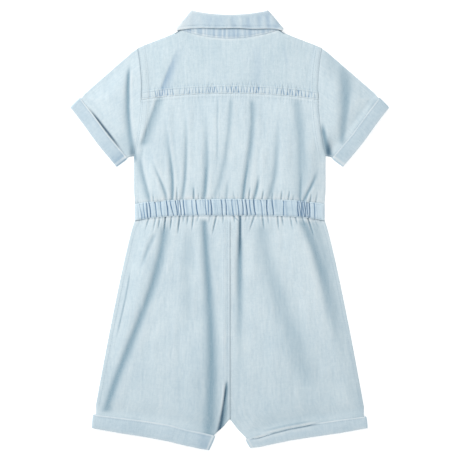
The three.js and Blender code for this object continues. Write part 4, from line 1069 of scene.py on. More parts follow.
def make_bodice():
    def height(x, y):
        return bodice_height(x, y) + armhole_felling(x, y)

    def turned(x, y, from_start, from_end, from_top):
        side = 1 - smooth(y, ARMPIT_Y - 3, ARMPIT_Y)
        return lerp(1, rim(np.minimum(from_start, from_end)), side)

    across = steps(2 * CHEST_HALF, 0.85, turn_start=True, turn_end=True)
    along = steps(150, 1.75, fine=((0, 10, 1.0), (136, 150, 1.0)))
    edges = (bodice_end(0, yoke_seam_y, 1.2), bodice_end(1, waist_top_y, -1.2), bodice_side(-1), bodice_side(1))
    piece, area = panel("bodice_cloth", edges, across, along, height, BODY_CLOTH, turned, marks_at=folded_in)
    y = np.linspace(112, 184, 120)
    sewing = stitches("bodice_stitches", [
        row_on(height, sign * armhole_line(y, d), y) for sign in (-1, 1) for d in ARMHOLE_ROWS])
    declare(["back_bodice"], area, 1.3)


# Waistband
def waistband_edges(inset):
    half = WAIST_HALF - inset

    def side(sign):
        return lambda q: plan(sign * half, lerp(waist_top_y(half), waist_bottom_y(half), q))

    def end(line):
        return lambda s: plan(lerp(-half, half, s), line(lerp(-half, half, s)))

    return end(waist_top_y), end(waist_bottom_y), side(-1), side(1)


def make_waistband():
    def rolled(x, y):
        """The casing's two folded edges turn down onto the cloth."""
        inside = np.minimum(waist_top_y(x) - y, y - waist_bottom_y(x))
        return waistband_height(x, y) - 1.5 * (1 - np.sqrt(np.clip(1 - (1 - np.clip(inside / 1.6, 0, 1)) ** 2, 0, 1)))

    def turned(x, y, from_start, from_end, from_top):
        return rim(np.minimum(from_start, from_end))

    def marks_at(x, y):
        inside = np.minimum(waist_top_y(x) - y, y - waist_bottom_y(x))
        streaks = waves(x + 0.1 * y, y * 0.12, 1.1, 4, 62)
        flat_end = smooth(np.abs(x), 123, 128)
        between = 1 - np.clip(pucker_depth(x, y), 0, 1)
        return {
            # painted shade, partly unfaded blue, in the puckers and streaks and where puckers crowd
            "unfaded_and_shade": (1.65 * pucker_depth(x, y) + 0.75 * np.clip(streaks - 0.1, 0, 1)
                       + 0.45 * np.clip(pucker_crowd(x) - 0.5, 0, 1.4) * between) * (1 - flat_end),
            # pale: wear on the folded edges, painted highlight on streak crests, on the band's ends and beside each
            # pucker, more on its right
            "wear_and_highlight": (0.6 * bell(inside - 0.6, 0.8) + 0.6 * np.clip(-streaks - 0.1, 0, 1) + 0.5 * flat_end
                     + 0.5 * pucker_depth(x - 1.6, y) + 0.2 * pucker_depth(x + 1.6, y)) * between,
            # painted shadow along the band's lower edge
            "deep": 0.5 * bell(y - waist_bottom_y(x) - 0.1, 0.5),
        }

    across = steps(2 * WAIST_HALF, 0.52, turn_start=True, turn_end=True)
    along = np.array([0, 0.15, 0.5, 1.0, 1.6, 2.2, 3, 4.2, 5.6, 7.2, 9, 11, 12.7, 14.5, 16.5, 18.1, 19.5, 20.7,
                      21.5, 22.1, 22.7, 23.2, 23.55, 23.7]) / 23.7
    piece, area = panel("waistband_back_cloth", waistband_edges(0.3), across, along, rolled, WAIST_CLOTH, turned,
                        marks_at=marks_at)
    x = np.linspace(-130, 130, 700)
    rows = [row_on(rolled, x, waist_top_y(x) - 2.0), row_on(rolled, x, waist_bottom_y(x) + 2.0)]
    sewing = stitches("waistband_back_stitches", rows)
    declare(["waistband_back"], area, 1.35)

    def front(x, y):
        puckers = 0.5 * pucker_depth(-x + 7 * np.sin(0.09 * x), y)
        return front_height(x, y) + 0.35 - puckers * 0.7

    def front_marks(x, y):
        streaks = waves(0.1 * y - x, y * 0.12, 1.4, 4, 62)
        # painted shade, partly unfaded blue, of puckers and streaks on the hidden front band, with pale streak crests
        return {"unfaded_and_shade": 1.3 * pucker_depth(7 * np.sin(0.09 * x) - x, y) + 0.5 * np.clip(streaks, 0, 1),
                "wear_and_highlight": 0.5 * np.clip(-streaks, 0, 1)}

    piece, area = panel("waistband_front_cloth", waistband_edges(1.5), steps(2 * WAIST_HALF, 0.75), steps(24, 2.8),
                        front, WAIST_CLOTH, marks_at=front_marks)
    sewing = stitches("waistband_front_stitches", [
        row_on(front, x, waist_top_y(x) - 2.0, up=False), row_on(front, x, waist_bottom_y(x) + 2.0, up=False)])
    declare(["waistband_front"], area, 1.35)


# Fronts
def front_neck(angle, gap):
    return plan((NECK_HALF + gap) * np.sin(angle), NECK_SIDE_Y - 0.7 - (FRONT_NECK_DEPTH + gap) * np.cos(angle))


NECK_SHARE = 0.56


def front_top(sign, inner_x):
    def edge(s):
        first_angle = math.asin(inner_x / NECK_HALF)
        neck = front_neck(lerp(first_angle, math.pi / 2, np.clip(s / NECK_SHARE, 0, 1)), 0.2)
        x = lerp(NECK_HALF + 0.2, SHOULDER[0] - 0.5, np.clip((s - NECK_SHARE) / (1 - NECK_SHARE), 0, 1))
        shoulder = plan(x, look_up(SHOULDER_LINE, x) - lerp(0.7, 1.6, smooth(x, 71, 80)))
        place = np.where((s <= NECK_SHARE)[..., None], neck, shoulder)
        return place * (sign, 1)
    return edge


def make_front(side, sign, edge_x, height, node_rows):
    top = front_top(sign, sign * edge_x)
    top_side = top(np.ones(1))[0]
    top_centre = top(np.zeros(1))[0]

    def outer(q):
        y = lerp(top_side[1], waist_top_y(WAIST_HALF) - 1.0, q)
        inset = lerp(1.2, 0.4, smooth(y, ARMPIT_Y - 1, ARMPIT_Y + 3))
        return plan(sign * (side_x(y) - inset), y)

    waist_x = outer(np.ones(1))[0][0]

    def foot(s):
        x = lerp(edge_x, waist_x, s)
        return plan(x, waist_top_y(x) - 1.0)

    def inner(q):
        return plan(edge_x, lerp(top_centre[1], foot(np.zeros(1))[0][1], q))

    neck = np.linspace(0, NECK_SHARE, 50)
    across = np.concatenate([neck, np.linspace(NECK_SHARE, 1, 38)[1:]])
    along = steps(246, 3.4)
    piece, area = panel(f"front_{side}_cloth", (top, foot, inner, outer), across, along, height, FRONT_CLOTH,
                        marks_at=front_painted_creases)
    sewing = stitches(f"front_{side}_stitches", node_rows(height, top_centre[1]))
    declare([f"front_{side}"], area, 1.15)


def make_fronts():
    y = np.linspace(ARMPIT_Y + 6, 250, 200)

    def left_rows(height, top):
        return [row_on(height, -armhole_line(y, d), y, up=False) for d in ARMHOLE_ROWS]

    def right_rows(height, top):
        lap_y = np.linspace(WAIST_TOP_Y + 3, top - 4, 200)
        laps = [row_on(height, np.full(200, x), lap_y, up=False) for x in (-PLACKET_WIDTH / 2 + 3, 14)]
        return laps + [row_on(height, armhole_line(y, d), y, up=False) for d in ARMHOLE_ROWS]

    make_front("left", -1, -PLACKET_WIDTH / 2 - 0.3, left_front_height, left_rows)
    make_front("right", 1, -PLACKET_WIDTH / 2 + 1, right_front_height, right_rows)


def make_placket():
    top = front_top(1, PLACKET_WIDTH / 2)(np.zeros(1))[0][1] - 0.6
    foot = WAIST_TOP_Y

    def across_at(y):
        return lambda s: plan((s - 0.5) * PLACKET_WIDTH, y)

    def along_at(x):
        return lambda q: plan(x, lerp(top, foot, q))

    def height(x, y):
        return PLACKET_MID + 0.12 * waves(x, y, 5, 30, 21) - 0.25 * bell(np.abs(x) - PLACKET_WIDTH / 2 + 2.2, 0.7)

    edges = (across_at(top), across_at(foot), along_at(-PLACKET_WIDTH / 2), along_at(PLACKET_WIDTH / 2))
    piece, area = panel("placket_cloth", edges, steps(PLACKET_WIDTH, 0.8), steps(top - foot, 1.6), height,
                        FRONT_CLOTH, wall=1.0)
    y = np.linspace(foot + 2, top - 2, 200)
    rows = [row_on(height, np.full(200, sign * (PLACKET_WIDTH / 2 - 2.2)), y, 1.0, up=False) for sign in (-1, 1)]
    sewing = stitches("placket_stitches", rows)
    declare(["placket"], area, 1.0)


# Shorts
CROTCH_SHARE = 0.8
HEM_SHARE = 0.9
LEG_SHARES = (0, CROTCH_SHARE, HEM_SHARE, 1)
LEG_END_INSIDE = 6
INSEAM_SLANT = 0.78


def leg_edges(sign, plain, hemmed, seam):
    hem = HEMS["left" if sign < 0 else "right"]
    inner_top = hem["top"][0][0]
    inner_bottom = hem["bottom"][0][0]

    def inset(x, y):
        return lerp(plain, hemmed, turn_cover(x, y))

    def outer(q):
        y = np.interp(q, (0, HEM_SHARE, 1), (waist_bottom_y(WAIST_HALF) + 1.2, -263.5, HEM_OUTER[1] + LEG_END_INSIDE))
        x = sign * leg_side_x(y)
        return plan(x - sign * inset(x, y), y)

    line = [(seam, WAIST_BOTTOM_Y + 1.2), (seam, CROTCH_Y), (inner_top, look_up(hem["top"], inner_top)),
            (inner_bottom, look_up(hem["bottom"], inner_bottom) + LEG_END_INSIDE)]

    def inner(q):
        place = on_line(line, LEG_SHARES, q)
        x, y = place[..., 0], place[..., 1]
        below = smooth(-y, -CROTCH_Y, -CROTCH_Y + 4)
        return plan(sign * (x + below * inset(sign * x, y) / INSEAM_SLANT), y)

    first_ends = [outer(np.zeros(1))[0], inner(np.zeros(1))[0]]
    last_ends = [outer(np.ones(1))[0], inner(np.ones(1))[0]]

    def first(s):
        x = lerp(first_ends[0][0], first_ends[1][0], s)
        return plan(x, waist_bottom_y(x) + 1.2)

    def last(s):
        x = lerp(last_ends[0][0], last_ends[1][0], s)
        straight = lerp(last_ends[0][1], last_ends[1][1], s)
        at_ends = [look_up(hem["bottom"], abs(end[0])) for end in last_ends]
        return plan(x, straight + look_up(hem["bottom"], np.abs(x)) - lerp(at_ends[0], at_ends[1], s))

    return first, last, outer, inner


SEAT_SEAM_ROWS = (3.2, 8.4)


def loose_hem(x):
    """1 along the stretch where the right leg's cloth stands over its hem."""
    return smooth(x, 28, 40) * (1 - smooth(x, 100, 132))


def make_legs():
    for side, sign in (("left", -1), ("right", 1)):
        def turned(x, y, from_start, from_end, from_top):
            inseam = smooth(-y, -CROTCH_Y + 1, -CROTCH_Y + 4)
            return rim(from_start) * lerp(1, rim(from_end), inseam)

        def height(x, y, sign=sign):
            over = 0.55 if sign < 0 else -0.5
            edge = over * (1 - smooth(np.abs(x), 0.5, 2.5)) * smooth(-y, -18, -8)
            return leg_height(x, y) + edge + 2.2 * loose_hem(x) * bell(above_hem(x, y) - 1.4, 1.5)

        def marks_at(x, y):
            marks = folded_in(x, y)
            # painted highlight on the lifted lip of the right leg's cloth above its hem
            marks["wear_and_highlight"] = marks["wear_and_highlight"] + 0.8 * loose_hem(x) * bell(above_hem(x, y) - 0.8, 0.7)
            # painted shadow just under the waistband
            marks["deep"] = marks["deep"] + 0.35 * bell(waist_bottom_y(x) - y - 0.6, 0.8)
            return marks

        seam = -1.0 if sign < 0 else -0.8
        across = steps(165, 1.05, turn_start=True, turn_end=True)
        along = steps(290, 2.3, fine=((0, 12, 1.2), (268, 284, 1.1)))
        piece, area = panel(f"leg_back_{side}_cloth", leg_edges(sign, 0.3, 2.6, seam), across, along, height,
                            BODY_CLOTH, turned, marks_at=marks_at)
        rows = []
        if sign < 0:
            y = np.linspace(14, -255, 260)
            rows = [row_on(height, np.full(260, -d), y) for d in SEAT_SEAM_ROWS]
        side_y = np.linspace(8, -250, 200)
        rows.append(row_on(height, sign * (leg_side_x(side_y) - 5.0), side_y))
        sewing = stitches(f"leg_back_{side}_stitches", rows)
        declare([f"leg_back_{side}"], area, 1.12)

        def lower(x, y):
            return front_height(x, y)

        across = steps(165, 1.6)
        along = steps(290, 4.2)
        piece, area = panel(f"leg_front_{side}_cloth", leg_edges(sign, 1.0, 3.4, 0.0), across, along, lower,
                            FRONT_CLOTH, marks_at=front_painted_creases)
        y = np.linspace(14, -255, 260)
        sewing = stitches(f"leg_front_{side}_stitches", [row_on(lower, np.full(260, sign * 3.0), y, up=False)])
        declare([f"leg_front_{side}"], area, 1.12)


# Tubes: sleeves, cuffs and hems
def section(across, fold_steps):
    """Once round a flattened tube: shares across it, and the angle of the outward direction."""
    folds = np.linspace(0, 1, fold_steps + 1)[1:-1]
    s = np.concatenate([across, np.ones(len(folds)), across[::-1], np.zeros(len(folds))])
    angle = np.concatenate([np.full(len(across), 0.5), 0.5 - folds, np.full(len(across), -0.5), -0.5 - folds]) * math.pi
    side = np.concatenate([np.zeros(len(across)), np.ones(len(folds)), np.zeros(len(across)), -np.ones(len(folds))])
    return s, angle, side


def tube(name, edges, across, rows, levels, away, material, fold_steps=8, wall=WALL, radius=0.5, marks_at=None):
    """rows are (q, turn, back): share along the tube, angle of the turn at its ends, and the length
    of cloth that goes back inside. away gives the directions in which its two side folds bulge."""
    s, angle, side = section(across, fold_steps)
    q = np.array([row[0] for row in rows])[:, None] + 0 * s
    turn = np.array([row[1] for row in rows])[:, None]
    back = np.array([row[2] for row in rows])[:, None]
    s, angle, side = (np.broadcast_to(v, q.shape) for v in (s, angle, side))
    centre = patch(edges, s, q)
    low, high = levels(centre[..., 0], centre[..., 1], q, s)
    half = (high - low) / 2
    bulge = mix(away[0](q), away[1](q), (side + 1) / 2)
    reach = half * np.abs(np.cos(angle)) * (side != 0)
    outward = np.concatenate([bulge * (np.abs(np.cos(angle)) * (side != 0))[..., None],
                              np.sin(angle)[..., None]], -1)
    points = with_height(centre + bulge * reach[..., None], (high + low) / 2 + half * np.sin(angle))
    first, last = edges[0](np.array([0.5]))[0], edges[1](np.array([0.5]))[0]
    axis = np.append(unit(last - first), 0) * np.where(q > 0.5, 1, -1)[..., None]
    points = points + axis * (radius * np.sin(turn) - back)[..., None] - outward * (radius * (1 - np.cos(turn)))[..., None]
    width = np.linalg.norm(edges[2](np.array([0.5])) - edges[3](np.array([0.5])))
    length = np.linalg.norm(last - first)
    marks = wear_and_shade_marks(points[..., 2] * (side == 0), width / len(across), length / len(rows))
    marks = {mark: values * (side == 0) for mark, values in marks.items()}
    if marks_at is not None:
        for mark, values in marks_at(centre[..., 0], centre[..., 1], q, s).items():
            marks[mark] = np.clip(marks.get(mark, 0) + values * (angle > 0), 0, 1)
    uv = (s * width, q * length + back)
    piece = shell(name, points, uv, material, wall, looped=True, marks=marks)
    return piece, 2 * plan_area(centre[:, :len(across)])


def folded_rows(q_values, turn_steps=5, back=2.5, at_start=True):
    turns = [math.pi * (k + 1) / turn_steps for k in range(turn_steps)]
    rows = [(q, 0, 0) for q in q_values]
    if at_start:
        rows = [(0, math.pi, back)] + [(0, turn, 0) for turn in turns[::-1]] + rows
    return rows + [(1, turn, 0) for turn in turns] + [(1, math.pi, back)]


def across_line(start, end, turn):
    return unit(plan(turn * (end[1] - start[1]), turn * (start[0] - end[0])))


OUTER_AWAY = across_line(SLEEVE_OUTER[0], SLEEVE_OUTER[1], -1)
INNER_AWAY = across_line(SLEEVE_INNER[0], SLEEVE_INNER[2], 1)
TOP_TANGENT = plan(0.2, 0.98)
LOW_TANGENT = plan(0.23, -0.97)
SLEEVE_SHARES = (0, CUFF_START, 1)
SLEEVE_FOLD = (BACK_MID - FRONT_MID) / 2 + WALL / 2
CUFF_FOLD = (TURN_HIGH - TURN_LOW) / 2 + TURNED_WALL / 2
SLEEVE_TUCK = 1.6


def sleeve_line(corners, away, seam_direction, sign):
    def edge(q):
        place = on_line(corners, SLEEVE_SHARES, np.minimum(q, 1) - 0.05 * smooth(q, CUFF_START, 1))
        inset = lerp(SLEEVE_FOLD, CUFF_FOLD, turn_cover(place[..., 0], place[..., 1]))
        direction = unit(mix(seam_direction, away, smooth(q, 0, 0.15)))
        tuck = plan(-SLEEVE_TUCK * (1 - smooth(q, 0, 0.08)), 0)
        return (place - direction * inset[..., None] + tuck) * (sign, 1)
    return edge


def make_sleeves():
    for side, sign in (("left", -1), ("right", 1)):
        outer = sleeve_line(SLEEVE_OUTER, OUTER_AWAY, TOP_TANGENT, sign)
        inner = sleeve_line(SLEEVE_INNER, INNER_AWAY, LOW_TANGENT, sign)
        ends = [outer(np.zeros(1))[0] * (sign, 1), inner(np.zeros(1))[0] * (sign, 1)]
        last_ends = [outer(np.ones(1))[0], inner(np.ones(1))[0]]

        def armhole(s, ends=ends, sign=sign):
            y = lerp(ends[0][1], ends[1][1], s)
            slack = lerp(ends[0][0] - armhole_x(ends[0][1]), ends[1][0] - armhole_x(ends[1][1]), s)
            return plan(sign * (armhole_x(y) + slack), y)

        def end(s, last_ends=last_ends):
            return mix(last_ends[0], last_ends[1], s)

        def away(direction, seam_direction, sign=sign):
            return lambda q: unit(mix(seam_direction, direction, smooth(q, 0, 0.15))) * (sign, 1)

        def levels(x, y, q, s):
            sink = 0.5 * (1 - smooth(np.abs(x) - armhole_x(y), -0.6, 1.6)) * (y > ARMPIT_Y)
            return front_height(x, y), back_height(x, y) - sink

        def marks_at(x, y, q, s, sign=sign):
            marks = folded_in(x, y)
            # painted shadow cast by the left cuff's raised edge onto the sleeve
            slit = bell(inside_cuff(x, y) - 1.6, 1.7) * (sign < 0) * smooth(s, 0.12, 0.36) * (1 - smooth(s, 0.62, 0.95))
            # painted shade under both arms, stronger on the right
            under_arm = bell((x - 140) / 4, 1) * bell((y - 112) / 13, 1) + 0.5 * bell((x + 139) / 4, 1) * bell((y - 108) / 12, 1)
            marks["deep"] = marks["deep"] + slit + 0.9 * under_arm
            return marks

        rows = [(q, 0, 0) for q in steps(108, 1.5, fine=((0, 8, 1.0), (80, 92, 0.8)))]
        piece, area = tube(f"sleeve_{side}_cloth", (armhole, end, outer, inner), np.linspace(0, 1, 92), rows, levels,
                           (away(OUTER_AWAY, TOP_TANGENT), away(INNER_AWAY, LOW_TANGENT)), BODY_CLOTH,
                           marks_at=marks_at)
        declare([f"sleeve_{side}"], area, 1.03)
        make_cuff(side, sign)


def fold_line(corners, direction, sign):
    ends = [np.array(corners[1]) - direction * CUFF_FOLD, np.array(corners[2]) - direction * CUFF_FOLD]
    return lambda q: mix(ends[0], ends[1], q) * (sign, 1)


TURNED_HEIGHT = 18


def turned_marks(x, y, q, s):
    """A turned-up edge is rubbed pale along both its folds."""
    return {"wear_and_highlight": 0.7 * bell(q * TURNED_HEIGHT, 1.2) + 0.35 * bell((1 - q) * TURNED_HEIGHT, 1.2)}


def make_cuff(side, sign):
    outer = fold_line(SLEEVE_OUTER, OUTER_AWAY, sign)
    inner = fold_line(SLEEVE_INNER, INNER_AWAY, sign)
    ends = [(outer(np.array([q]))[0], inner(np.array([q]))[0]) for q in (0, 1)]

    def across_at(pair):
        """A cuff's edge, which bows out a little towards the hand."""
        return lambda s: mix(pair[0], pair[1], s) - CUFF_NORMAL * (sign, 1) * (1.5 * bell(s - 0.62, 0.3))[..., None]

    def levels(x, y, q, s):
        ripple = 0.25 * waves(x, y, 9, 14, 31) + 0.12 * waves(x, y, 3.5, 5, 32)
        crown = 0.5 * (1 - (2 * q - 1) ** 2) + 0.5 * (1 - (2 * s - 1) ** 2)
        rows = 0.25 * bell((q - 0.1) * TURNED_HEIGHT, 0.8)
        lifted = 1.6 * (1 - q) * bell(s - 0.5, 0.3) * (sign < 0)
        return TURN_LOW + 0 * x, TURN_HIGH + ripple + crown + lifted - rows

    def marks_at(x, y, q, s):
        shaded = (0.12 + 0.5 * smooth(s, 0.82, 0.98)) * (sign < 0)
        return {**turned_marks(x, y, q, s), "unfaded_and_shade": shaded}

    rows = folded_rows(np.linspace(0, 1, 18))
    across = np.linspace(0, 1, 90)
    piece, area = tube(f"cuff_{side}_cloth", (across_at(ends[0]), across_at(ends[1]), outer, inner), across, rows,
                       levels, (lambda q: OUTER_AWAY * (sign, 1) + 0 * q[..., None],
                                lambda q: INNER_AWAY * (sign, 1) + 0 * q[..., None]), TURNED_CLOTH, wall=TURNED_WALL,
                       marks_at=marks_at)
    s = np.linspace(0.02, 0.98, 120)
    q = np.full(120, 0.1)
    place = patch((across_at(ends[0]), across_at(ends[1]), outer, inner), s, q)
    low, high = levels(place[..., 0], place[..., 1], q, s)
    sewing = stitches(f"cuff_{side}_stitches", [
        (with_height(place, high + TURNED_WALL / 2 + 0.05), UP), (with_height(place, low - TURNED_WALL / 2 + 0.15), DOWN)])
    declare([f"cuff_{side}"], 228 * 22, 1.0)


def make_hems():
    for side, sign in (("left", -1), ("right", 1)):
        hem = HEMS[side]
        outer_away = plan(0.995, 0.1) * (sign, 1)
        inner_away = unit(plan(-0.9, -0.43)) * (sign, 1)

        def line(table, sign=sign):
            inner_x, outer_x = table[0][0], table[-1][0]

            def edge(s):
                x = lerp(outer_x - CUFF_FOLD, inner_x + CUFF_FOLD * 0.9, s)
                y = look_up(table, lerp(outer_x, inner_x, s)) + 0.4 * CUFF_FOLD * smooth(s, 0.7, 1)
                return plan(sign * x, y)
            return edge

        top, bottom = line(hem["top"]), line(hem["bottom"])

        def side_at(s, top=top, bottom=bottom):
            ends = [edge(np.array([float(s)]))[0] for edge in (top, bottom)]
            return lambda q: mix(ends[0], ends[1], q)

        def levels(x, y, q, s, sign=sign):
            ripple = 0.3 * waves(x, y, 22, 12, 41) + 0.15 * waves(x, y, 6, 6, 42)
            crown = 0.5 * (1 - (2 * q - 1) ** 2)
            slit = 1.9 * bell(q * TURNED_HEIGHT - 0.5, 1.8) * loose_hem(x)
            rows_dip = 0.25 * bell((q - 0.1) * TURNED_HEIGHT, 0.8)
            return TURN_LOW + 0 * x, TURN_HIGH + ripple + crown - slit - rows_dip

        def marks_at(x, y, q, s):
            marks = turned_marks(x, y, q, s)
            below = q * TURNED_HEIGHT
            marks["wear_and_highlight"] = marks["wear_and_highlight"] * (1 - loose_hem(x) * (q < 0.5))
            # painted shadow along the right hem's top, under the lifted leg cloth
            marks["deep"] = 1.3 * bell(below - 1.0, 1.4) * loose_hem(x)
            # darker on the left hem around x = -36
            marks["unfaded_and_shade"] = 0.45 * bell(x + 36, 11)
            return marks

        edges = (top, bottom, side_at(0), side_at(1))
        rows = folded_rows(np.linspace(0, 1, 18))
        piece, area = tube(f"hem_{side}_cloth", edges, np.linspace(0, 1, 130), rows, levels,
                           (lambda q, a=outer_away: a + 0 * q[..., None], lambda q, a=inner_away: a + 0 * q[..., None]),
                           TURNED_CLOTH, wall=TURNED_WALL, marks_at=marks_at)
        s = np.linspace(0.02, 0.98, 220)
        q = np.full(220, 0.1)
        place = patch(edges, s, q)
        low, high = levels(place[..., 0], place[..., 1], q, s)
        sewing = stitches(f"hem_{side}_stitches", [
            (with_height(place, high + TURNED_WALL / 2 + 0.05), UP),
            (with_height(place, low - TURNED_WALL / 2 + 0.15), DOWN)])
        declare([f"hem_{side}"], 352 * 24, 1.0)


# Collar: strips from the front edge round one side fold, over the back and round the other
SIDE_AWAY = (0.762, 0.648)


def strip_places(leaf_steps=36, fold_steps=10, back_steps=110):
    leaf = np.concatenate([np.linspace(0, 1, leaf_steps + 1)[:-1], np.ones(fold_steps + 1)])
    facing = np.concatenate([np.full(leaf_steps, -0.5), np.linspace(-0.5, 0.5, fold_steps + 1)]) * math.pi
    back = np.linspace(1, -1, back_steps + 1)[1:-1]
    none = np.full(len(leaf), np.nan)
    return {
        "leaf": np.concatenate([leaf, 0 * back, leaf[::-1]]),
        "facing": np.concatenate([facing, np.full(len(back), math.pi / 2), facing[::-1]]),
        "back": np.concatenate([none, back, none]),
        "sign": np.concatenate([np.ones(len(leaf)), np.ones(len(back)), -np.ones(len(leaf))]),
    }


def roll_front(leaf):
    angle = leaf * math.pi / 2
    return plan(LEAF_TOP[0] + (ROLL_HALF - LEAF_TOP[0]) * np.sin(angle),
                ROLL_SIDE_Y - (ROLL_SIDE_Y - LEAF_TOP[1]) * np.cos(angle))


def roll_back(back):
    return plan(ROLL_HALF * back, ROLL_BACK_Y + (ROLL_SIDE_Y - ROLL_BACK_Y) * back ** 2)


def stand_leaf(leaf, v):
    return mix(front_neck(lerp(0.015, math.pi / 2, leaf), -0.3), roll_front(leaf), v * 0.975)


def stand_back(back, v):
    x = NECK_HALF * back
    return mix(plan(x, back_neck_y(x) - 0.6), roll_back(back), v * 0.975)


def fall_leaf(leaf, v):
    return mix(roll_front(leaf), mix(np.array(LEAF_POINT, float), np.array(FALL_SIDE, float), leaf), v)


def fall_edge_y(x):
    bow = 1 - np.abs(np.clip(x / FALL_SIDE[0], -1, 1)) ** 6
    wander = -0.9 * bell(x - 30, 20) + 0.35 * np.sin(x / 9)
    return lerp(FALL_SIDE[1], FALL_EDGE_Y, bow) + wander * bow


def fall_back(back, v):
    x = FALL_SIDE[0] * back
    return mix(roll_back(back), plan(x, fall_edge_y(x)), v)


def strip(places, v, leaf_line, back_line, low, high):
    """Points of a strip at shares v from its neck edge or roll, and the outward direction there."""
    v = np.asarray(v, float)[:, None] + 0 * places["leaf"]
    leaf, facing, sign = (np.broadcast_to(places[k], v.shape) for k in ("leaf", "facing", "sign"))
    on_back = ~np.isnan(np.broadcast_to(places["back"], v.shape))
    back = np.nan_to_num(np.broadcast_to(places["back"], v.shape))
    side = leaf_line(leaf, v)
    reach = (high - low) / 2 * np.cos(facing)
    side = plan(sign * (side[..., 0] + SIDE_AWAY[0] * reach), side[..., 1] + SIDE_AWAY[1] * reach)
    flat = np.where(on_back[..., None], back_line(back, v), side)
    points = with_height(flat, (high + low) / 2 + (high - low) / 2 * np.sin(facing))
    outward = np.stack([sign * SIDE_AWAY[0] * np.cos(facing), SIDE_AWAY[1] * np.cos(facing), np.sin(facing)], -1)
    return points, outward


def make_collar():
    places = strip_places()
    length = 2 * math.pi / 4 * 60 + 2 * NECK_HALF + 40
    u = np.linspace(0, length, len(places["leaf"]))

    v = np.array([0, 0.02, 0.06, 0.1, 0.15, 0.2, 0.25, 0.3, 0.34, 0.38, 0.42, 0.46, 0.5, 0.54, 0.6, 0.7, 0.8,
                  0.9, 1.0])
    points, outward = strip(places, v, stand_leaf, stand_back, STAND_LOW, STAND_HIGH)
    x = points[..., 0]
    pucker = 0.5 * np.abs(waves(x, 0 * x, 4.2, 8, 51)) * bell(v[:, None] - 0.12, 0.2)
    rounded = 0.8 * (1 - smooth(v[:, None], 0, 0.07))
    points = points + outward * (0.5 - pucker - rounded)[..., None]
    # painted shadow on the stand just under the fall's edge, weaker towards the sides
    under_fall = np.clip(1.1 * bell(points[..., 1] - fall_edge_y(x) + 0.2, 1.5), 0, 1)
    under_fall = under_fall * (0.5 + 0.5 * bell(x - 12, 45))
    streaks = waves(x, 0 * x, 1.9, 8, 54)
    # painted shade, partly unfaded blue, in the stand's puckers and streaks; pale on its neck edge and between streaks
    marks = {"unfaded_and_shade": np.clip(0.8 * pucker + 0.55 * np.clip(streaks, 0, 1), 0, 1),
             "wear_and_highlight": np.clip(0.5 * bell(v[:, None] - 0.03, 0.04) + 0.9 * np.clip(0.1 - streaks, 0, 1), 0, 1),
             "deep": under_fall}
    stand = shell("collar_stand_cloth", points, (u, v[:, None] * 30), COLLAR_CLOTH, wall=1.0, marks=marks)
    row = strip(places, [0.1], stand_leaf, stand_back, STAND_LOW, STAND_HIGH)
    sewing = stitches("collar_stand_stitches", [(row[0][0] + row[1][0] * 0.95, row[1][0])])
    declare(["collar_stand"], 300 * 30, 1.0)

    turns = np.linspace(math.pi, 0, 9)[:-1]
    v = np.concatenate([np.linspace(0, 0.86, 16), [0.9, 0.93, 0.96, 0.985, 1.0]])
    points, outward = strip(places, np.concatenate([0 * turns, v]), fall_leaf, fall_back, FALL_LOW, FALL_HIGH)
    edge_points, _ = strip(places, [1.0], fall_leaf, fall_back, FALL_LOW, FALL_HIGH)
    turn = np.concatenate([turns, 0 * v])[:, None, None]
    ahead = (points[:1] - edge_points) * (1, 1, 0)
    roll_radius = 0.85
    points = points + unit(ahead) * roll_radius * np.sin(turn) - outward * roll_radius * (1 - np.cos(turn))
    share = np.concatenate([0 * turns, v])[:, None] + 0 * u
    x = points[..., 0]
    ripple = (0.35 * waves(x, share * 12, 5.5, 14, 52) + 0.2 * waves(x, share * 12, 2.8, 9, 53)) * (turn[..., 0] == 0)
    ripple = ripple * smooth(share, 0.0, 0.35)
    row_dip = 0.35 * bell((share - 0.8) * 20, 0.9)
    edge_drop = 0.5 * smooth(share, 0.95, 1.0)
    points = points + outward * (ripple - row_dip - edge_drop)[..., None]
    # pale: wear along both folded edges, painted highlight on the ripples' crests and over the left end; painted shade
    # in the ripples' troughs and stitch dip, and over the right end
    marks = {"wear_and_highlight": np.clip(0.9 * bell((1 - share) * 20, 1.1) + 0.5 * bell(share * 20, 1.0)
                             + np.clip(ripple, 0, 1) + 0.75 * (1 - smooth(x, -66, -36)), 0, 1),
             "unfaded_and_shade": np.clip((-0.8 * ripple + 0.25 * row_dip) * smooth(x, -60, -20)
                               + 0.16 * smooth(x, 30, 55), 0, 1)}
    fall = shell("collar_fall_cloth", points, (u, share * 40), COLLAR_CLOTH, wall=1.2, marks=marks)
    row = strip(places, [0.8], fall_leaf, fall_back, FALL_LOW, FALL_HIGH)
    sewing = stitches("collar_fall_stitches", [(row[0][0] + row[1][0] * 0.4, row[1][0])])
    declare(["collar_fall"], 320 * 34, 1.0)


def make_buttons():
    for k in range(BUTTON_COUNT):
        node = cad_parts[f"button_{k + 1}"]
        node.data.materials.clear()
        node.data.materials.append(BUTTON)


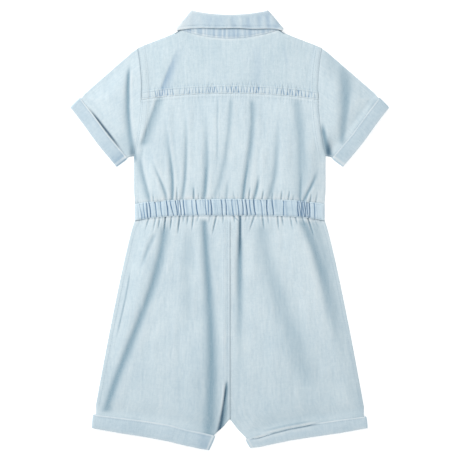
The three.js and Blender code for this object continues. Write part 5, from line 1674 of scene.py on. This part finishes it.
def make_stage():
    mesh = bpy.data.meshes.new("floor")
    half = 4.0
    mesh.from_pydata([(-half, -half, 0), (half, -half, 0), (half, half, 0), (-half, half, 0)], [], [(0, 1, 2, 3)])
    floor = bpy.data.objects.new("floor", mesh)
    bpy.context.scene.collection.objects.link(floor)
    white = Finish("white_board")
    mesh.materials.append(white.surface((0.94, 0.94, 0.94, 1), 0.9, None, {"Specular IOR Level": 0.1, "Emission Color": (1, 1, 1, 1), "Emission Strength": 0.3}))


def soft_light(name, place, size, power, tint=(1, 1, 1)):
    data = bpy.data.lights.new(name, "AREA")
    data.shape = "DISK"
    data.size = size
    data.energy = power
    data.color = tint
    lamp = bpy.data.objects.new(name, data)
    lamp.location = place
    towards = -lamp.location
    lamp.rotation_mode = "QUATERNION"
    lamp.rotation_quaternion = towards.to_track_quat("-Z", "Y")
    bpy.context.scene.collection.objects.link(lamp)


def make_lights():
    world = bpy.data.worlds.new("studio")
    world.use_nodes = True
    world.node_tree.nodes["Background"].inputs["Color"].default_value = (1.0, 1.0, 1.0, 1)
    world.node_tree.nodes["Background"].inputs["Strength"].default_value = 0.68
    bpy.context.scene.world = world
    soft_light("window", (-0.95, 0.7, 0.98), 0.9, 10.5)
    soft_light("ceiling", (0.3, -0.2, 2.6), 1.6, 13)


PICTURE_WIDTH = 653.2
CAMERA_HEIGHT = 3.4
SENSOR = 36


def make_camera():
    data = bpy.data.cameras.new("camera")
    data.sensor_width = SENSOR
    data.lens = SENSOR * CAMERA_HEIGHT / (PICTURE_WIDTH * MM)
    data.clip_end = 30
    camera = bpy.data.objects.new("camera", data)
    camera.location = (0.35 * MM, BELOW_CENTRE * MM, CAMERA_HEIGHT)
    bpy.context.scene.collection.objects.link(camera)
    bpy.context.scene.camera = camera
    bpy.context.scene.view_settings.view_transform = "Standard"


make_stage()
make_fronts()
make_placket()
make_buttons()
make_yoke()
make_bodice()
make_waistband()
make_legs()
make_sleeves()
make_hems()
make_collar()
make_lights()
make_camera()
